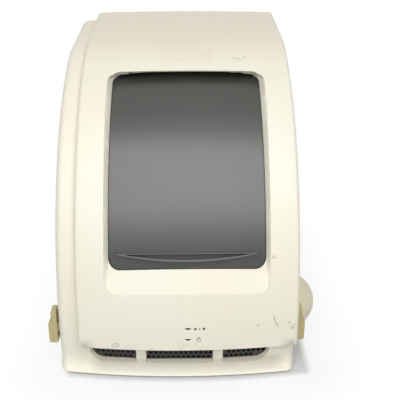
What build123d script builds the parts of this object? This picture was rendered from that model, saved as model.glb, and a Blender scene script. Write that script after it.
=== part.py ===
from build123d import *
import os
from math import asin, atan2, cos, degrees, radians, sin, sqrt, tan

os.makedirs("parts", exist_ok=True)

# A bench-top real-time thermal cycler. X runs to the right seen from the front, Y to the back and
# Z up. The origin is on the table, under the middle of the whole machine. All lengths in mm.

# How far a cutting shape reaches past what it cuts, near by and out in the open
over = 1.0
beyond = 60.0

# Side view of the enclosure
depth = 460.0
front_radius = 371.0
front_centre_z = 54.0
crown_angle = 75.0
roof_rise = 17.7
bow_radius = 1000.0

# Widths seen from the front
cover_width = 302.0
left_margin = 28.0
right_overhang = 2.4

# Proud front cover
cover_low_z = 48.0
cover_step = 14.0
cover_wall = 3.0
cover_edge_radius = 7.0
cover_rear_gap = 4.0
cover_seat_gap = 0.3

# Moulded housing behind it
housing_wall = 3.0
housing_edge_radius = 11.0
toe_z = 2.5
cove_top_z = 24.0
cove_radius = 26.0
aperture_margin = 19.5
aperture_low_angle = 10.0
aperture_rear_drop = 80.0
ledge_depth = 20.0

# Window in the cover and the recess round it
window_width = 211.0
window_low_angle = 17.0
window_high_angle = 63.6
window_low_corner = 16.0
window_high_corner = 12.0
recess_depth = 9.0
recess_side = 6.0
recess_low_angle = 11.8
recess_high_drop = 1.1
recess_corner = 22.0
recess_lap = 0.4

# Sliding door and its curved rails
door_thickness = 2.5
door_gap = 0.6
door_side_lap = 9.5
door_low_angle = 14.6
door_high_angle = 66.4
door_travel = 34.0
rail_web = 2.5
rail_flange = 8.0
rail_gap = 1.0
handle_width = 196.0
handle_angle = 20.4
handle_drop = 11.5
handle_reach = 7.0
handle_lip = 3.0
handle_hollow = 2.2

# Cover hinge at the top rear
hinge_y_inset = 11.0
hinge_z_drop = 12.5
hinge_pin_radius = 3.0
hinge_barrel_radius = 5.5
hinge_barrel_length = 24.0
hinge_ear = 6.0
hinge_side_gap = 0.5
hinge_spacing = 190.0
hinge_web = 5.0
bracket_thickness = 2.5
bracket_reach = 8.0
running_gap = 0.05

# Status windows in the cover
indicator_width = 9.0
indicator_height = 3.2
indicator_heights = (64.9, 81.6)
indicator_sink = 0.4
indicator_length = 10.0

# Air inlets under the cover
vent_widths = (62.5, 92.0, 62.5)
vent_rib = 15.0
vent_offset = -12.0
vent_low_z = 19.0
vent_high_z = 46.0
vent_pocket = 8.0
vent_ledge_slope = 0.34
vent_side_slope = 0.15
vent_corner = 3.0
vent_end_corner = 18.0
vent_wall = 2.5
screen_thickness = 1.0
screen_margin = 3.5
screen_pitch = 7.0
screen_hole = 5.0
screen_gap = 0.1

# Side release catches
latch_y = 47.0
latch_width = 18.0
latch_low_z = 37.0
latch_step_z = 69.0
latch_high_z = 88.0
latch_reach = 15.5
latch_upper_reach = 11.0
latch_gap = 3.4
latch_stem_width = 10.0
latch_stem_height = 12.0
latch_stem_z = 60.0
latch_flange = 3.0
latch_clearance = 0.3
latch_round = 3.0

# Round cap over the lamp on the right wall
dome_y = 100.0
dome_z = 65.0
dome_radius = 41.0
dome_reach = 36.8
dome_seam = 0.4
dome_seam_drop = 4.0
dome_hole_radius = 33.0
dome_bore_radius = 29.0
dome_bore_depth = 22.0

# Floor pan, feet, rear panel and inner frame
foot_height = 3.0
foot_radius = 9.0
foot_inset = 32.0
pan_thickness = 2.0
pan_flange = 20.0
pan_front = 50.0
sheet = 2.0
panel_recess = 4.5
frame_gap = 0.3
bay_half_width = 131.0
bay_rear = 312.0
bay_inset = 30.0
deck_z = 160.0

# Thermal block and its cooling
block_y = 165.0
block_length = 124.0
block_width = 84.0
block_height = 20.0
block_rise = 12.0
well_pitch = 9.0
well_columns = 12
well_rows = 8
well_radius = 3.0
well_tip_radius = 1.5
well_depth = 14.0
read_hole_radius = 1.8
well_sides = 6
collar_width = 13.0
collar_rise = 9.0
element_size = 38.0
element_height = 3.6
sink_base = 8.0
sink_length = 136.0
sink_width = 96.0
fin_height = 44.0
fin_thickness = 1.6
fin_count = 19
sink_post_radius = 3.0
fan_size = 92.0
fan_depth = 25.0
fan_hub_radius = 18.0
fan_tip_gap = 1.5
fan_frame_wall = 2.0
fan_blades = 7
fan_blade_thickness = 2.0
fan_blade_chord = 18.0
fan_blade_pitch = 40.0
fan_struts = 3
fan_strut_start = 45.0
fan_strut_width = 5.0
fan_hub_seat = 4.0
fan_shaft_radius = 2.0

# Heated lid over the block
lid_pivot_y = 250.0
lid_pivot_rise = 30.0
lid_front_y = 112.0
lid_width = 164.0
lid_plate_height = 8.0
lid_wall = 6.0
plate_thickness = 3.0
plate_gap = 1.0
lid_pin_radius = 3.0
lid_ear = 5.0
lid_handle_reach = 14.0
lid_handle_bar = 5.0

# Scanner carried by the lid
scan_rod_radius = 3.0
scan_rod_spread = 148.0
scan_rod_rise = 16.0
scan_end_block = 8.0
bush_half = 6.5
screw_rise = 10.0
screw_radius = 2.5
carriage_length = 22.0
carriage_height = 6.0
cross_rod_radius = 2.0
cross_spread = 15.0
cross_rise = 4.0
head_size = 24.0
head_height = 18.0
scan_motor_half = 8.0
scan_motor_length = 18.0

# Filter wheels, lamp and detector
wheel_radius = 34.0
wheel_thickness = 4.0
wheel_holes = 6
wheel_hole_radius = 7.5
wheel_hole_circle = 22.0
wheel_shaft_length = 16.0
wheel_lamp_gap = 6.0
wheel_plate_gap = 4.0
wheel_floor_gap = 6.0
motor_radius = 14.0
motor_length = 24.0
motor_shaft_radius = 2.5
motor_bevel = 1.5
lamp_tube_radius = 17.0
lamp_tube_wall = 2.0
lamp_tube_start = 100.0
lamp_tube_reach = 14.0
lamp_radius = 5.0
lamp_length = 16.0
lamp_socket_radius = 8.0
lamp_socket_length = 6.0
lamp_plate_inset = 18.0
lamp_plate_half = 22.0
shelf_rise = 40.0
shelf_depth = 108.0
shelf_gusset = 60.0
detector_offset = 60.0
detector_radius = 16.0
detector_length = 60.0
saddle_inset = 8.0

# Supply, board and rear fittings
supply_width = 140.0
supply_depth = 90.0
supply_height = 62.0
supply_offset = -100.0
supply_gap = 20.0
supply_slots = 9
supply_slot_width = 4.0
supply_slot_inset = 12.0
board_thickness = 1.6
board_offset = 12.0
board_front = 70.0
board_margin = 6.0
board_low_z = 30.0
board_high_z = 320.0
standoff_radius = 4.0
# Components on the board: place along Y and Z, length, width and rise
board_layout = (
    (110.0, 60.0, 34.0, 34.0, 4.0),
    (170.0, 70.0, 24.0, 24.0, 3.0),
    (90.0, 120.0, 60.0, 10.0, 9.0),
    (180.0, 120.0, 14.0, 60.0, 9.0),
    (225.0, 60.0, 40.0, 30.0, 12.0),
    (130.0, 170.0, 30.0, 20.0, 5.0),
    (220.0, 150.0, 50.0, 10.0, 9.0),
    (230.0, 200.0, 24.0, 24.0, 6.0),
)
exhaust_x = -60.0
exhaust_drop = 58.7
guard_wire = 1.6
guard_rings = 4
guard_lap = 2.0
inlet_x = 70.0
inlet_z = 60.0
inlet_width = 27.0
inlet_height = 20.0
inlet_depth = 22.0
inlet_flange = 1.2
inlet_bevel = 4.0
socket_pin_inset = 6.0
socket_pin_width = 2.0
socket_pin_pitch = 7.0
switch_x = 105.0
switch_width = 12.0
switch_height = 19.0
switch_depth = 16.0
switch_wall = 1.6
switch_tilt = 9.0
switch_pivot_depth = 1.5
rocker_gap = 0.9
rocker_depth = 5.0
rocker_rise = 1.4
rocker_pin_radius = 1.2
port_x = 15.0
port_width = 12.0
port_height = 11.0
port_depth = 14.0
fitting_clearance = 0.3

# Places that follow from the sizes above
front_y = -depth / 2
back_y = depth / 2
cover_x = (left_margin + latch_reach + right_overhang - dome_reach) / 2
cover_left = cover_x - cover_width / 2
cover_right = cover_x + cover_width / 2
left_x = cover_left - left_margin
right_x = cover_right - right_overhang
arc_y = front_y + front_radius
crown_y = arc_y - front_radius * cos(radians(crown_angle))
crown_z = front_centre_z + front_radius * sin(radians(crown_angle))
roof_slope = atan2(roof_rise, back_y - crown_y)
height = crown_z + roof_rise
bow_axis = Axis((cover_x, front_y + bow_radius, 0), (0, 0, 1))
arc_axis = Axis((cover_x, arc_y, front_centre_z), (-1, 0, 0))
sweep_angle = degrees(asin((cover_width / 2 + left_margin + 10) / (bow_radius - depth)))
side_plane = Plane((cover_x, 0, 0), x_dir=(0, 1, 0), z_dir=(1, 0, 0))
ledge_y = back_y - ledge_depth
hinge_y = back_y - hinge_y_inset
hinge_z = crown_z + (hinge_y - crown_y) * tan(roof_slope) - hinge_z_drop
hinge_xs = (cover_x - hinge_spacing / 2, cover_x + hinge_spacing / 2)
bracket_top = hinge_z - hinge_barrel_radius - hinge_side_gap
ledge_z = bracket_top - bracket_thickness
latch_mid_y = front_y + latch_y
dome_mid_y = front_y + dome_y
pan_z = foot_height
pan_top = pan_z + pan_thickness
panel_y = back_y - panel_recess
window_middle = (window_low_angle + window_high_angle) / 2
recess_high_angle = window_high_angle - recess_high_drop
section_radius = bow_radius / cos(radians(window_middle))


def save(name, *shapes):
    """Write one node's solids to its own file."""
    solids = [solid for shape in shapes for solid in shape.solids()]
    export_step(Compound(children=solids), f"parts/{name}.step")


def slab(x0, x1, y0, y1, z0, z1):
    """A square block between three pairs of limits."""
    return Pos((x0 + x1) / 2, (y0 + y1) / 2, (z0 + z1) / 2) * Box(x1 - x0, y1 - y0, z1 - z0)


def largest(shape):
    """The main solid of a cut, without the plug that the cut sets free."""
    return shape.solids().sort_by(SortBy.VOLUME)[-1]


def rod_x(radius, x0, x1, y, z):
    return Pos((x0 + x1) / 2, y, z) * Rot(0, 90, 0) * Cylinder(radius, x1 - x0)


def rod_y(radius, y0, y1, x, z):
    return Pos(x, (y0 + y1) / 2, z) * Rot(90, 0, 0) * Cylinder(radius, y1 - y0)


def rod_z(radius, z0, z1, x, y):
    return Pos(x, y, (z0 + z1) / 2) * Cylinder(radius, z1 - z0)


def on_arc(angle, inset=0.0):
    """A point (y, z) of the curved front, `angle` degrees above level and `inset` inside it."""
    radius = front_radius - inset
    return (arc_y - radius * cos(radians(angle)), front_centre_z + radius * sin(radians(angle)))


def roof_z(y, inset=0.0):
    return crown_z + (y - crown_y) * tan(roof_slope) - inset / cos(roof_slope)


def angle_at(z, inset=0.0):
    return degrees(asin((z - front_centre_z) / (front_radius - inset)))


def bowed(face):
    """A side outline swept about the upright axis of the bowed front."""
    return revolve(face.rotate(bow_axis, -sweep_angle), bow_axis, 2 * sweep_angle)


def cover_face(inset, low_z, rear_y):
    """Side outline of the cover, `inset` inside its surface and standing on low_z."""
    low_angle = angle_at(low_z, inset)
    low = on_arc(low_angle, inset)
    crown = on_arc(crown_angle, inset)
    rear = (rear_y, roof_z(rear_y, inset))
    outline = [
        ThreePointArc(low, on_arc((low_angle + crown_angle) / 2, inset), crown),
        Line(crown, rear),
        Line(rear, (rear_y, low_z)),
        Line((rear_y, low_z), low),
    ]
    return side_plane * make_face(outline)


def housing_face(inset, low_z):
    """Side outline of the housing, whose front flares out to a toe near the table."""
    shell_inset = cover_step + inset
    top_angle = angle_at(cove_top_z, shell_inset)
    cove_top = on_arc(top_angle, shell_inset)
    crown = on_arc(crown_angle, shell_inset)
    rear = (back_y, roof_z(back_y, shell_inset))
    cove_y = on_arc(angle_at(cove_top_z, cover_step), cover_step)[0] - cove_radius
    radius = cove_top[0] - cove_y
    toe_angle = asin((cove_top_z - low_z) / radius)
    toe = (cove_y + radius * cos(toe_angle), low_z)
    middle = (cove_y + radius * cos(toe_angle / 2), cove_top_z - radius * sin(toe_angle / 2))
    outline = [
        ThreePointArc(cove_top, on_arc((top_angle + crown_angle) / 2, shell_inset), crown),
        Line(crown, rear),
        Line(rear, (back_y, low_z)),
        Line((back_y, low_z), toe),
        ThreePointArc(toe, middle, cove_top),
    ]
    return side_plane * make_face(outline)


def side_edges(solid, x, low_z, rear_y):
    """The edges of one side plane that follow the front and the roof."""
    near = [edge for edge in solid.edges() if abs(edge.center().X - x) < 0.01]
    near = [edge for edge in near if edge.center().Z > low_z + 0.01]
    return [edge for edge in near if edge.center().Y < rear_y - 0.01]


def bowed_body(face, x0, x1, low_z, rear_y):
    """A bowed body cut to width, and its long side edges."""
    body = bowed(face) & slab(x0, x1, front_y - beyond, rear_y, low_z, height + beyond)
    return body, side_edges(body, x0, low_z, rear_y) + side_edges(body, x1, low_z, rear_y)


def arc_plane(angle):
    """The plane through the front's centre line, with local y pointing out at `angle`."""
    turn = radians(angle)
    return Plane((cover_x, arc_y, front_centre_z), x_dir=(1, 0, 0), z_dir=(0, -sin(turn), -cos(turn)))


def ring(section, low_angle, high_angle):
    """A section of (x, radius) swept about the front's centre line."""
    return revolve(arc_plane(low_angle) * section, arc_axis, high_angle - low_angle)


def polygon(*points):
    return make_face(Polyline(*points, close=True))


def bow_drop(x):
    """How far the bowed section of the door and the recess floor falls back at x from the middle."""
    return section_radius - sqrt(section_radius ** 2 - x ** 2)


def strip(half_width, radius, thickness):
    """A bowed strip section of (x, radius), `thickness` deep below its outer side."""
    drop = bow_drop(half_width)
    low = radius - thickness
    return make_face(
        [
            ThreePointArc((-half_width, radius - drop), (0, radius), (half_width, radius - drop)),
            Line((half_width, radius - drop), (half_width, low - drop)),
            ThreePointArc((half_width, low - drop), (0, low), (-half_width, low - drop)),
            Line((-half_width, low - drop), (-half_width, radius - drop)),
        ]
    )


def window_tool(grow):
    """The tapered recess round the window; a grown copy of it gives the recess its own wall."""
    half = window_width / 2 + grow
    floor = front_radius - recess_depth - grow
    drop = bow_drop(half)
    outer = front_radius + 4
    flare = recess_side * (outer - floor + drop) / recess_depth
    section = make_face(
        [
            ThreePointArc((-half, floor - drop), (0, floor), (half, floor - drop)),
            Line((half, floor - drop), (half + flare, outer)),
            Line((half + flare, outer), (-half - flare, outer)),
            Line((-half - flare, outer), (-half, floor - drop)),
        ]
    )
    low_in = Vector(*on_arc(window_low_angle, recess_depth))
    low_out = Vector(*on_arc(recess_low_angle))
    ramp = low_out - low_in
    shift = Vector(-ramp.Y, ramp.X).normalized() * grow
    low_back = low_in + shift - ramp * 0.6
    low_far = low_in + shift + ramp * 1.6
    growth = degrees(grow / front_radius)
    top_back = Vector(*on_arc(recess_high_angle + growth, 3 * recess_depth))
    top_far = Vector(*on_arc(recess_high_angle + growth, -beyond))
    front = front_y - beyond
    along = polygon(low_back, low_far, (front, low_far.Y), (front, top_far.Y), top_far, top_back)
    return ring(section, 0, 90) & bowed(side_plane * along)


def rounded_window(width, low_angle, high_angle, low_corner, high_corner):
    """A prism with rounded corners, square to the middle of the window."""
    middle = (low_angle + high_angle) / 2
    turn = radians(middle)
    centre = on_arc(middle, 0)
    half = radians((high_angle - low_angle) / 2)
    reach = (front_radius - recess_depth) * sin(half)
    plane = Plane((cover_x, centre[0], centre[1]), x_dir=(1, 0, 0), z_dir=(0, -cos(turn), sin(turn)))
    outline = Rectangle(width, 2 * reach)
    low = outline.vertices().sort_by(Axis.Y)[:2]
    outline = fillet(low, low_corner)
    high = [v for v in outline.vertices() if abs(v.Y - reach) < 0.01]
    outline = fillet(high, high_corner)
    return extrude(plane * outline, 1.5 * beyond, both=True)


# Front cover, with the hinge barrels under its rear edge
cover_rear_y = back_y - cover_rear_gap
cover_body, long_edges = bowed_body(
    cover_face(0, cover_low_z, cover_rear_y), cover_left, cover_right, cover_low_z, cover_rear_y
)
cover_body = fillet(long_edges, cover_edge_radius)
cover_hollow, long_edges = bowed_body(
    cover_face(cover_wall, cover_low_z + cover_wall, cover_rear_y),
    cover_left + cover_wall,
    cover_right - cover_wall,
    cover_low_z + cover_wall,
    cover_rear_y,
)
cover_hollow = chamfer(long_edges, (cover_edge_radius - cover_wall) / 2)
core_face = cover_face(cover_step - cover_seat_gap, cover_low_z - 20, cover_rear_y)
cover_core = bowed(core_face) & slab(
    cover_left - over, cover_right + over, front_y, back_y, cover_low_z - over, height
)
recess_outline = rounded_window(
    window_width + 2 * recess_side,
    recess_low_angle - recess_lap,
    recess_high_angle + recess_lap,
    recess_corner,
    window_high_corner,
)
window_hole = rounded_window(
    window_width, window_low_angle, window_high_angle, window_low_corner, window_high_corner
)
recess_block = window_tool(cover_wall) & cover_body
cover = (cover_body - cover_hollow - cover_core) + recess_block
cover = cover - (window_tool(0) & recess_outline) - window_hole
skirt_end = slab(cover_left - 1, cover_right + 1, hinge_y, back_y, ledge_z, hinge_z + hinge_barrel_radius)
cover = cover - skirt_end
for x in hinge_xs:
    half = hinge_barrel_length / 2
    web_y = hinge_y + hinge_web / 2
    web = slab(x - half, x + half, hinge_y - hinge_web / 2, web_y, hinge_z, height) & cover_hollow
    barrel = rod_x(hinge_barrel_radius, x - half, x + half, hinge_y, hinge_z) + web
    bore = rod_x(hinge_pin_radius + running_gap, x - half - 1, x + half + 1, hinge_y, hinge_z)
    cover = cover + (barrel - bore)


def smile_slot(width, size, z, y0, y1):
    """A small status window: straight above and bowed below."""
    outline = make_face(
        [
            Line((-width / 2, size / 2), (width / 2, size / 2)),
            ThreePointArc((width / 2, size / 2), (0, -size / 2), (-width / 2, size / 2)),
        ]
    )
    plane = Plane((cover_x, y0, z), x_dir=(1, 0, 0), z_dir=(0, 1, 0))
    return extrude(plane * Rot(0, 0, 180) * outline, y1 - y0)


indicators = Part()
lens_width = indicator_width - 2 * fitting_clearance
lens_height = indicator_height - 2 * fitting_clearance
lens_bound = bowed(cover_face(indicator_sink, cover_low_z, cover_rear_y))
for z in indicator_heights:
    cover = cover - smile_slot(indicator_width, indicator_height, z, front_y - over, front_y + 4 * cover_wall)
    lens = smile_slot(lens_width, lens_height, z, front_y - over, front_y + indicator_length)
    indicators += lens & lens_bound
save("front_cover", cover)
save("indicator_lenses", indicators)

# Sliding door with its pull
door_half = window_width / 2 + door_side_lap
door_radius = front_radius - recess_depth - cover_wall - door_gap
door = ring(strip(door_half, door_radius, door_thickness), door_low_angle, door_high_angle)
pull_turn = radians(handle_angle)
pull_at = on_arc(handle_angle, front_radius - door_radius)
pull_plane = Plane(
    (cover_x, pull_at[0], pull_at[1]), x_dir=(1, 0, 0), z_dir=(0, -cos(pull_turn), sin(pull_turn))
)


def pull_face(half, top, low):
    return make_face([Line((-half, top), (half, top)), ThreePointArc((half, top), (0, low), (-half, top))])


pull_root = bow_drop(handle_width / 2) + door_thickness / 2
pull = extrude(pull_plane * pull_face(handle_width / 2, 0, -handle_drop), handle_reach)
pull += extrude(pull_plane * pull_face(handle_width / 2, 0, -handle_drop), -pull_root)
hollow_half = handle_width / 2 - 4 * handle_lip
hollow = pull_plane.offset(handle_hollow) * pull_face(hollow_half, -handle_lip / 3, handle_lip - handle_drop)
pull -= extrude(hollow, handle_reach)
pull -= ring(strip(door_half, door_radius - door_thickness, 4 * door_thickness), 10, 30)
door += pull
save("sliding_door", door)

# Curved rails under the cover, which carry the door's long edges
rail_x = door_half + rail_gap
rail_low = door_radius - door_thickness - bow_drop(door_half) - rail_gap - rail_web
rail_stop = door_high_angle + door_travel + 0.5
rails = []
for side in (-1, 1):
    section = polygon(
        (side * rail_x, rail_low + rail_web),
        (side * (rail_x - rail_flange), rail_low + rail_web),
        (side * (rail_x - rail_flange), rail_low),
        (side * (rail_x + rail_web), rail_low),
        (side * (rail_x + rail_web), front_radius + 10),
        (side * rail_x, front_radius + 10),
    )
    rails.append(ring(section, door_low_angle - 0.3, rail_stop) & cover_hollow)
save("door_rails", *rails)


# Housing
def vent_face(width, low_z, high_z, end_side, corner, end_corner):
    """Outline (x, z) of one air inlet; end_side is -1, 0 or 1 for where its large corner is."""
    outline = Pos(0, (low_z + high_z) / 2) * Rectangle(width, high_z - low_z)
    for side in (-1, 1):
        radius = end_corner if side == end_side else corner
        low = sorted(outline.vertices(), key=lambda v: side * v.X - 3 * v.Y)[-1]
        outline = fillet(low, radius)
    return outline


def vent_tool(width, end_side, grow, deep):
    """The tapered pocket of one inlet, `deep` behind the skin, built at the middle of the front."""
    near = -vent_pocket - cove_radius
    faces = []
    for y in (deep, near):
        run = vent_pocket - y
        face = vent_face(
            width + 2 * grow + 2 * run * vent_side_slope,
            vent_low_z - grow - vent_ledge_slope * run,
            vent_high_z + grow,
            end_side,
            vent_corner + grow,
            vent_end_corner + grow,
        )
        faces.append(Plane((cover_x, vent_surface_y + y, 0), x_dir=(1, 0, 0), z_dir=(0, -1, 0)) * face)
    return loft(faces)


vent_surface_y = on_arc(angle_at(vent_high_z, cover_step), cover_step)[0]
vent_xs = (
    vent_offset - (vent_widths[0] + vent_widths[1]) / 2 - vent_rib,
    vent_offset,
    vent_offset + (vent_widths[1] + vent_widths[2]) / 2 + vent_rib,
)
vent_turns = [degrees(asin(x / (bow_radius - cover_step))) for x in vent_xs]

housing_body, long_edges = bowed_body(housing_face(0, toe_z), left_x, right_x, toe_z, back_y)
housing_body = fillet(long_edges, housing_edge_radius)
housing_hollow, long_edges = bowed_body(
    housing_face(housing_wall, toe_z), left_x + housing_wall, right_x - housing_wall, toe_z, back_y
)
housing_hollow = chamfer(long_edges, (housing_edge_radius - housing_wall) / 2)
bay_cut_left = cover_left - cover_seat_gap
hinge_bay = slab(bay_cut_left, right_x + 1, ledge_y, back_y + 1, ledge_z, height)
bay_shell = slab(
    bay_cut_left - housing_wall, right_x, ledge_y - housing_wall, back_y, ledge_z - housing_wall, height
)
housing = (housing_body - housing_hollow) + (bay_shell & housing_body) - hinge_bay
aperture = side_plane * polygon(
    on_arc(aperture_low_angle, beyond),
    on_arc(aperture_low_angle, -beyond),
    (front_y - beyond, height + beyond),
    (ledge_y, height + beyond),
    (ledge_y, height - aperture_rear_drop),
)
housing = housing - extrude(aperture, window_width / 2 + aperture_margin, both=True)
for width, end_side, turn in zip(vent_widths, (-1, 0, 1), vent_turns):
    pocket = vent_tool(width, end_side, vent_wall, vent_pocket).rotate(bow_axis, turn)
    hole = vent_tool(width, end_side, 0, vent_pocket + 1).rotate(bow_axis, turn)
    housing = largest((housing + (pocket & housing_body)) - hole)
slot_y = latch_stem_width / 2 + latch_clearance
slot_z = latch_stem_height / 2 + latch_clearance
for x in (left_x, right_x):
    housing = housing - slab(
        x - 5, x + 5, latch_mid_y - slot_y, latch_mid_y + slot_y, latch_stem_z - slot_z, latch_stem_z + slot_z
    )
housing = housing - rod_x(dome_hole_radius, right_x - 8, right_x + 1, dome_mid_y, dome_z)
save("housing", housing)

# Perforated screens behind the air inlets
hole_side = screen_hole / sqrt(3)
row_step = screen_pitch * sqrt(3) / 2
screen_y = vent_surface_y + vent_pocket + screen_gap
screens = []
for width, end_side, turn in zip(vent_widths, (-1, 0, 1), vent_turns):
    outline = vent_face(
        width + 2 * screen_margin,
        vent_low_z - screen_margin,
        vent_high_z + screen_margin,
        end_side,
        vent_corner + screen_margin,
        vent_end_corner + screen_margin,
    )
    columns = int(width / screen_pitch)
    rows = int((vent_high_z - vent_low_z) / row_step)
    holes = []
    for row in range(rows):
        shift = screen_pitch / 2 if row % 2 else 0
        z = vent_low_z + (row + 0.5) * (vent_high_z - vent_low_z) / rows
        for column in range(columns):
            x = (column - (columns - 1) / 2) * screen_pitch + shift - screen_pitch / 4
            near_end = end_side * x > width / 2 - vent_end_corner and z < vent_low_z + vent_end_corner / 2
            if not near_end:
                holes.append(Pos(x, z) * RegularPolygon(hole_side, 6, rotation=30))
    plane = Plane((cover_x, screen_y, 0), x_dir=(1, 0, 0), z_dir=(0, -1, 0))
    screen = extrude(plane * (outline - holes), -screen_thickness)
    screens.append(screen.rotate(bow_axis, turn))
save("inlet_screens", *screens)

# Hinge brackets and pins on the ledge at the top rear
bracket_half = hinge_barrel_length / 2 + hinge_side_gap + hinge_ear
brackets = []
pins = []
for x in hinge_xs:
    near, far = x - bracket_half, x + bracket_half
    bracket = slab(near, far, hinge_y - bracket_reach, hinge_y + bracket_reach, ledge_z, bracket_top)
    for ear_x in (near, far - hinge_ear):
        ear = rod_x(hinge_barrel_radius, ear_x, ear_x + hinge_ear, hinge_y, hinge_z)
        ear_low_y, ear_high_y = hinge_y - hinge_barrel_radius, hinge_y + hinge_barrel_radius
        bracket += ear + slab(ear_x, ear_x + hinge_ear, ear_low_y, ear_high_y, ledge_z, hinge_z)
    bracket -= rod_x(hinge_pin_radius + running_gap, near - over, far + over, hinge_y, hinge_z)
    brackets.append(bracket)
    pins.append(rod_x(hinge_pin_radius, near - over, far + over, hinge_y, hinge_z))
save("hinge_brackets", *brackets)
save("hinge_pins", *pins)

# Release catches on both side walls
grip = polygon(
    (latch_gap, latch_low_z),
    (latch_reach, latch_low_z),
    (latch_reach, latch_step_z),
    (latch_upper_reach, latch_step_z),
    (latch_upper_reach, latch_high_z),
    (latch_gap, latch_high_z),
)
outer_corners = [v for v in grip.vertices() if v.X > latch_gap + 1]
outer_corners = [v for v in outer_corners if v.Y != latch_step_z or v.X > latch_upper_reach + 1]
grip = fillet(outer_corners, latch_round)
latch_plane = Plane((0, latch_mid_y, 0), x_dir=(1, 0, 0), z_dir=(0, -1, 0))
catch = extrude(latch_plane * grip, latch_width / 2, both=True)
stem_end = -housing_wall - latch_clearance - latch_flange
catch += slab(
    stem_end,
    latch_gap + 1,
    latch_mid_y - latch_stem_width / 2,
    latch_mid_y + latch_stem_width / 2,
    latch_stem_z - latch_stem_height / 2,
    latch_stem_z + latch_stem_height / 2,
)
catch += slab(
    stem_end,
    stem_end + latch_flange,
    latch_mid_y - latch_stem_width / 2 - latch_flange,
    latch_mid_y + latch_stem_width / 2 + latch_flange,
    latch_stem_z - latch_stem_height / 2 - latch_flange,
    latch_stem_z + latch_stem_height / 2 + latch_flange,
)
save("release_catch_right", Pos(right_x, 0, 0) * catch)
save("release_catch_left", Pos(left_x, 0, 0) * mirror(catch, Plane.YZ))

# Round cap on the right wall, in two halves
cap_radius = (dome_radius ** 2 + dome_reach ** 2) / (2 * dome_reach)
cap_x = dome_reach - cap_radius
cap_plane = Plane((right_x, dome_mid_y, dome_z), x_dir=(1, 0, 0), z_dir=(0, 0, 1))


cap_turn = atan2(dome_radius, -cap_x) / 2
cap_middle = (cap_x + cap_radius * cos(cap_turn), cap_radius * sin(cap_turn))
cap_face = make_face(
    [
        ThreePointArc((0, dome_radius), cap_middle, (dome_reach, 0)),
        Line((dome_reach, 0), (0, 0)),
        Line((0, 0), (0, dome_radius)),
    ]
)
cap = revolve(cap_plane * cap_face, Axis((right_x, dome_mid_y, dome_z), (1, 0, 0)), 360)
cap -= rod_x(dome_bore_radius, right_x - 1, right_x + dome_bore_depth, dome_mid_y, dome_z)
seam_z = dome_z - dome_seam_drop
seam = slab(right_x, right_x + beyond, dome_mid_y - beyond, dome_mid_y + beyond, seam_z - dome_seam, seam_z)
cap = cap - seam
cap_halves = cap.solids().sort_by(Axis.Z)
save("lamp_cap_lower", cap_halves[0])
save("lamp_cap_upper", cap_halves[-1])

# Floor pan and feet
pan_left = left_x + housing_wall + frame_gap
pan_right = right_x - housing_wall - frame_gap
pan_y = front_y + pan_front
pan = slab(pan_left, pan_right, pan_y, panel_y, pan_z, pan_top)
pan += slab(pan_left, pan_left + sheet, pan_y, panel_y, pan_z, pan_z + pan_flange)
pan += slab(pan_right - sheet, pan_right, pan_y, panel_y, pan_z, pan_z + pan_flange)
pan += slab(pan_left, pan_right, pan_y, pan_y + sheet, pan_z, pan_z + pan_flange / 2)
save("floor_pan", pan)
feet = [
    rod_z(foot_radius, 0, foot_height, x, y)
    for x in (pan_left + foot_inset, pan_right - foot_inset)
    for y in (pan_y + foot_inset / 2, panel_y - foot_inset)
]
save("feet", *feet)

# Inner frame: side plates, rear plate and deck round the sample bay
bay_left = cover_x - bay_half_width
bay_right = cover_x + bay_half_width
bay_rear_y = front_y + bay_rear
bay_round = rod_x(front_radius - bay_inset, bay_left - 10, bay_right + 10, arc_y, front_centre_z)
plate_y = pan_y + sheet + frame_gap
plate_left = slab(bay_left - sheet, bay_left, plate_y, bay_rear_y, pan_top, height) & bay_round
plate_right = slab(bay_right, bay_right + sheet, plate_y, bay_rear_y, pan_top, height) & bay_round
plate_right -= rod_x(lamp_tube_radius + fitting_clearance, bay_right - 1, bay_right + 3, dome_mid_y, dome_z)
save("bay_side_plates", plate_left, plate_right)
rear_plate = slab(bay_left, bay_right, bay_rear_y - sheet, bay_rear_y, pan_top, height)
rear_plate = rear_plate & rod_x(front_radius - bay_inset - 4, bay_left, bay_right, arc_y, front_centre_z)
save("bay_plate_rear", rear_plate)
block_mid_y = front_y + block_y
deck = slab(bay_left, bay_right, plate_y, bay_rear_y - sheet, deck_z - sheet, deck_z)
deck += slab(bay_left, bay_right, plate_y, plate_y + sheet, deck_z - pan_flange, deck_z)
block_opening = slab(
    cover_x - block_length / 2 - fitting_clearance,
    cover_x + block_length / 2 + fitting_clearance,
    block_mid_y - block_width / 2 - fitting_clearance,
    block_mid_y + block_width / 2 + fitting_clearance,
    deck_z - beyond,
    deck_z + beyond,
)
save("deck", deck - block_opening)

# Thermal block with its wells, and the collar that frames it
block_top = deck_z + block_rise
block_low = block_top - block_height
block = slab(
    cover_x - block_length / 2,
    cover_x + block_length / 2,
    block_mid_y - block_width / 2,
    block_mid_y + block_width / 2,
    block_low,
    block_top,
)


def flat_sided_well():
    """A tapered well with flat sides, hanging from its mouth at z 0."""
    turns = [radians(360 * i / well_sides) for i in range(well_sides + 1)]
    mouth = [Vector(well_radius * cos(turn), well_radius * sin(turn), 0) for turn in turns]
    tip = [Vector(well_tip_radius * cos(turn), well_tip_radius * sin(turn), -well_depth) for turn in turns]
    outlines = [mouth[:-1], tip[:-1]]
    outlines += [(mouth[i], mouth[i + 1], tip[i + 1], tip[i]) for i in range(well_sides)]
    return Solid(Shell([Face(Wire.make_polygon(outline)) for outline in outlines]))


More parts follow.
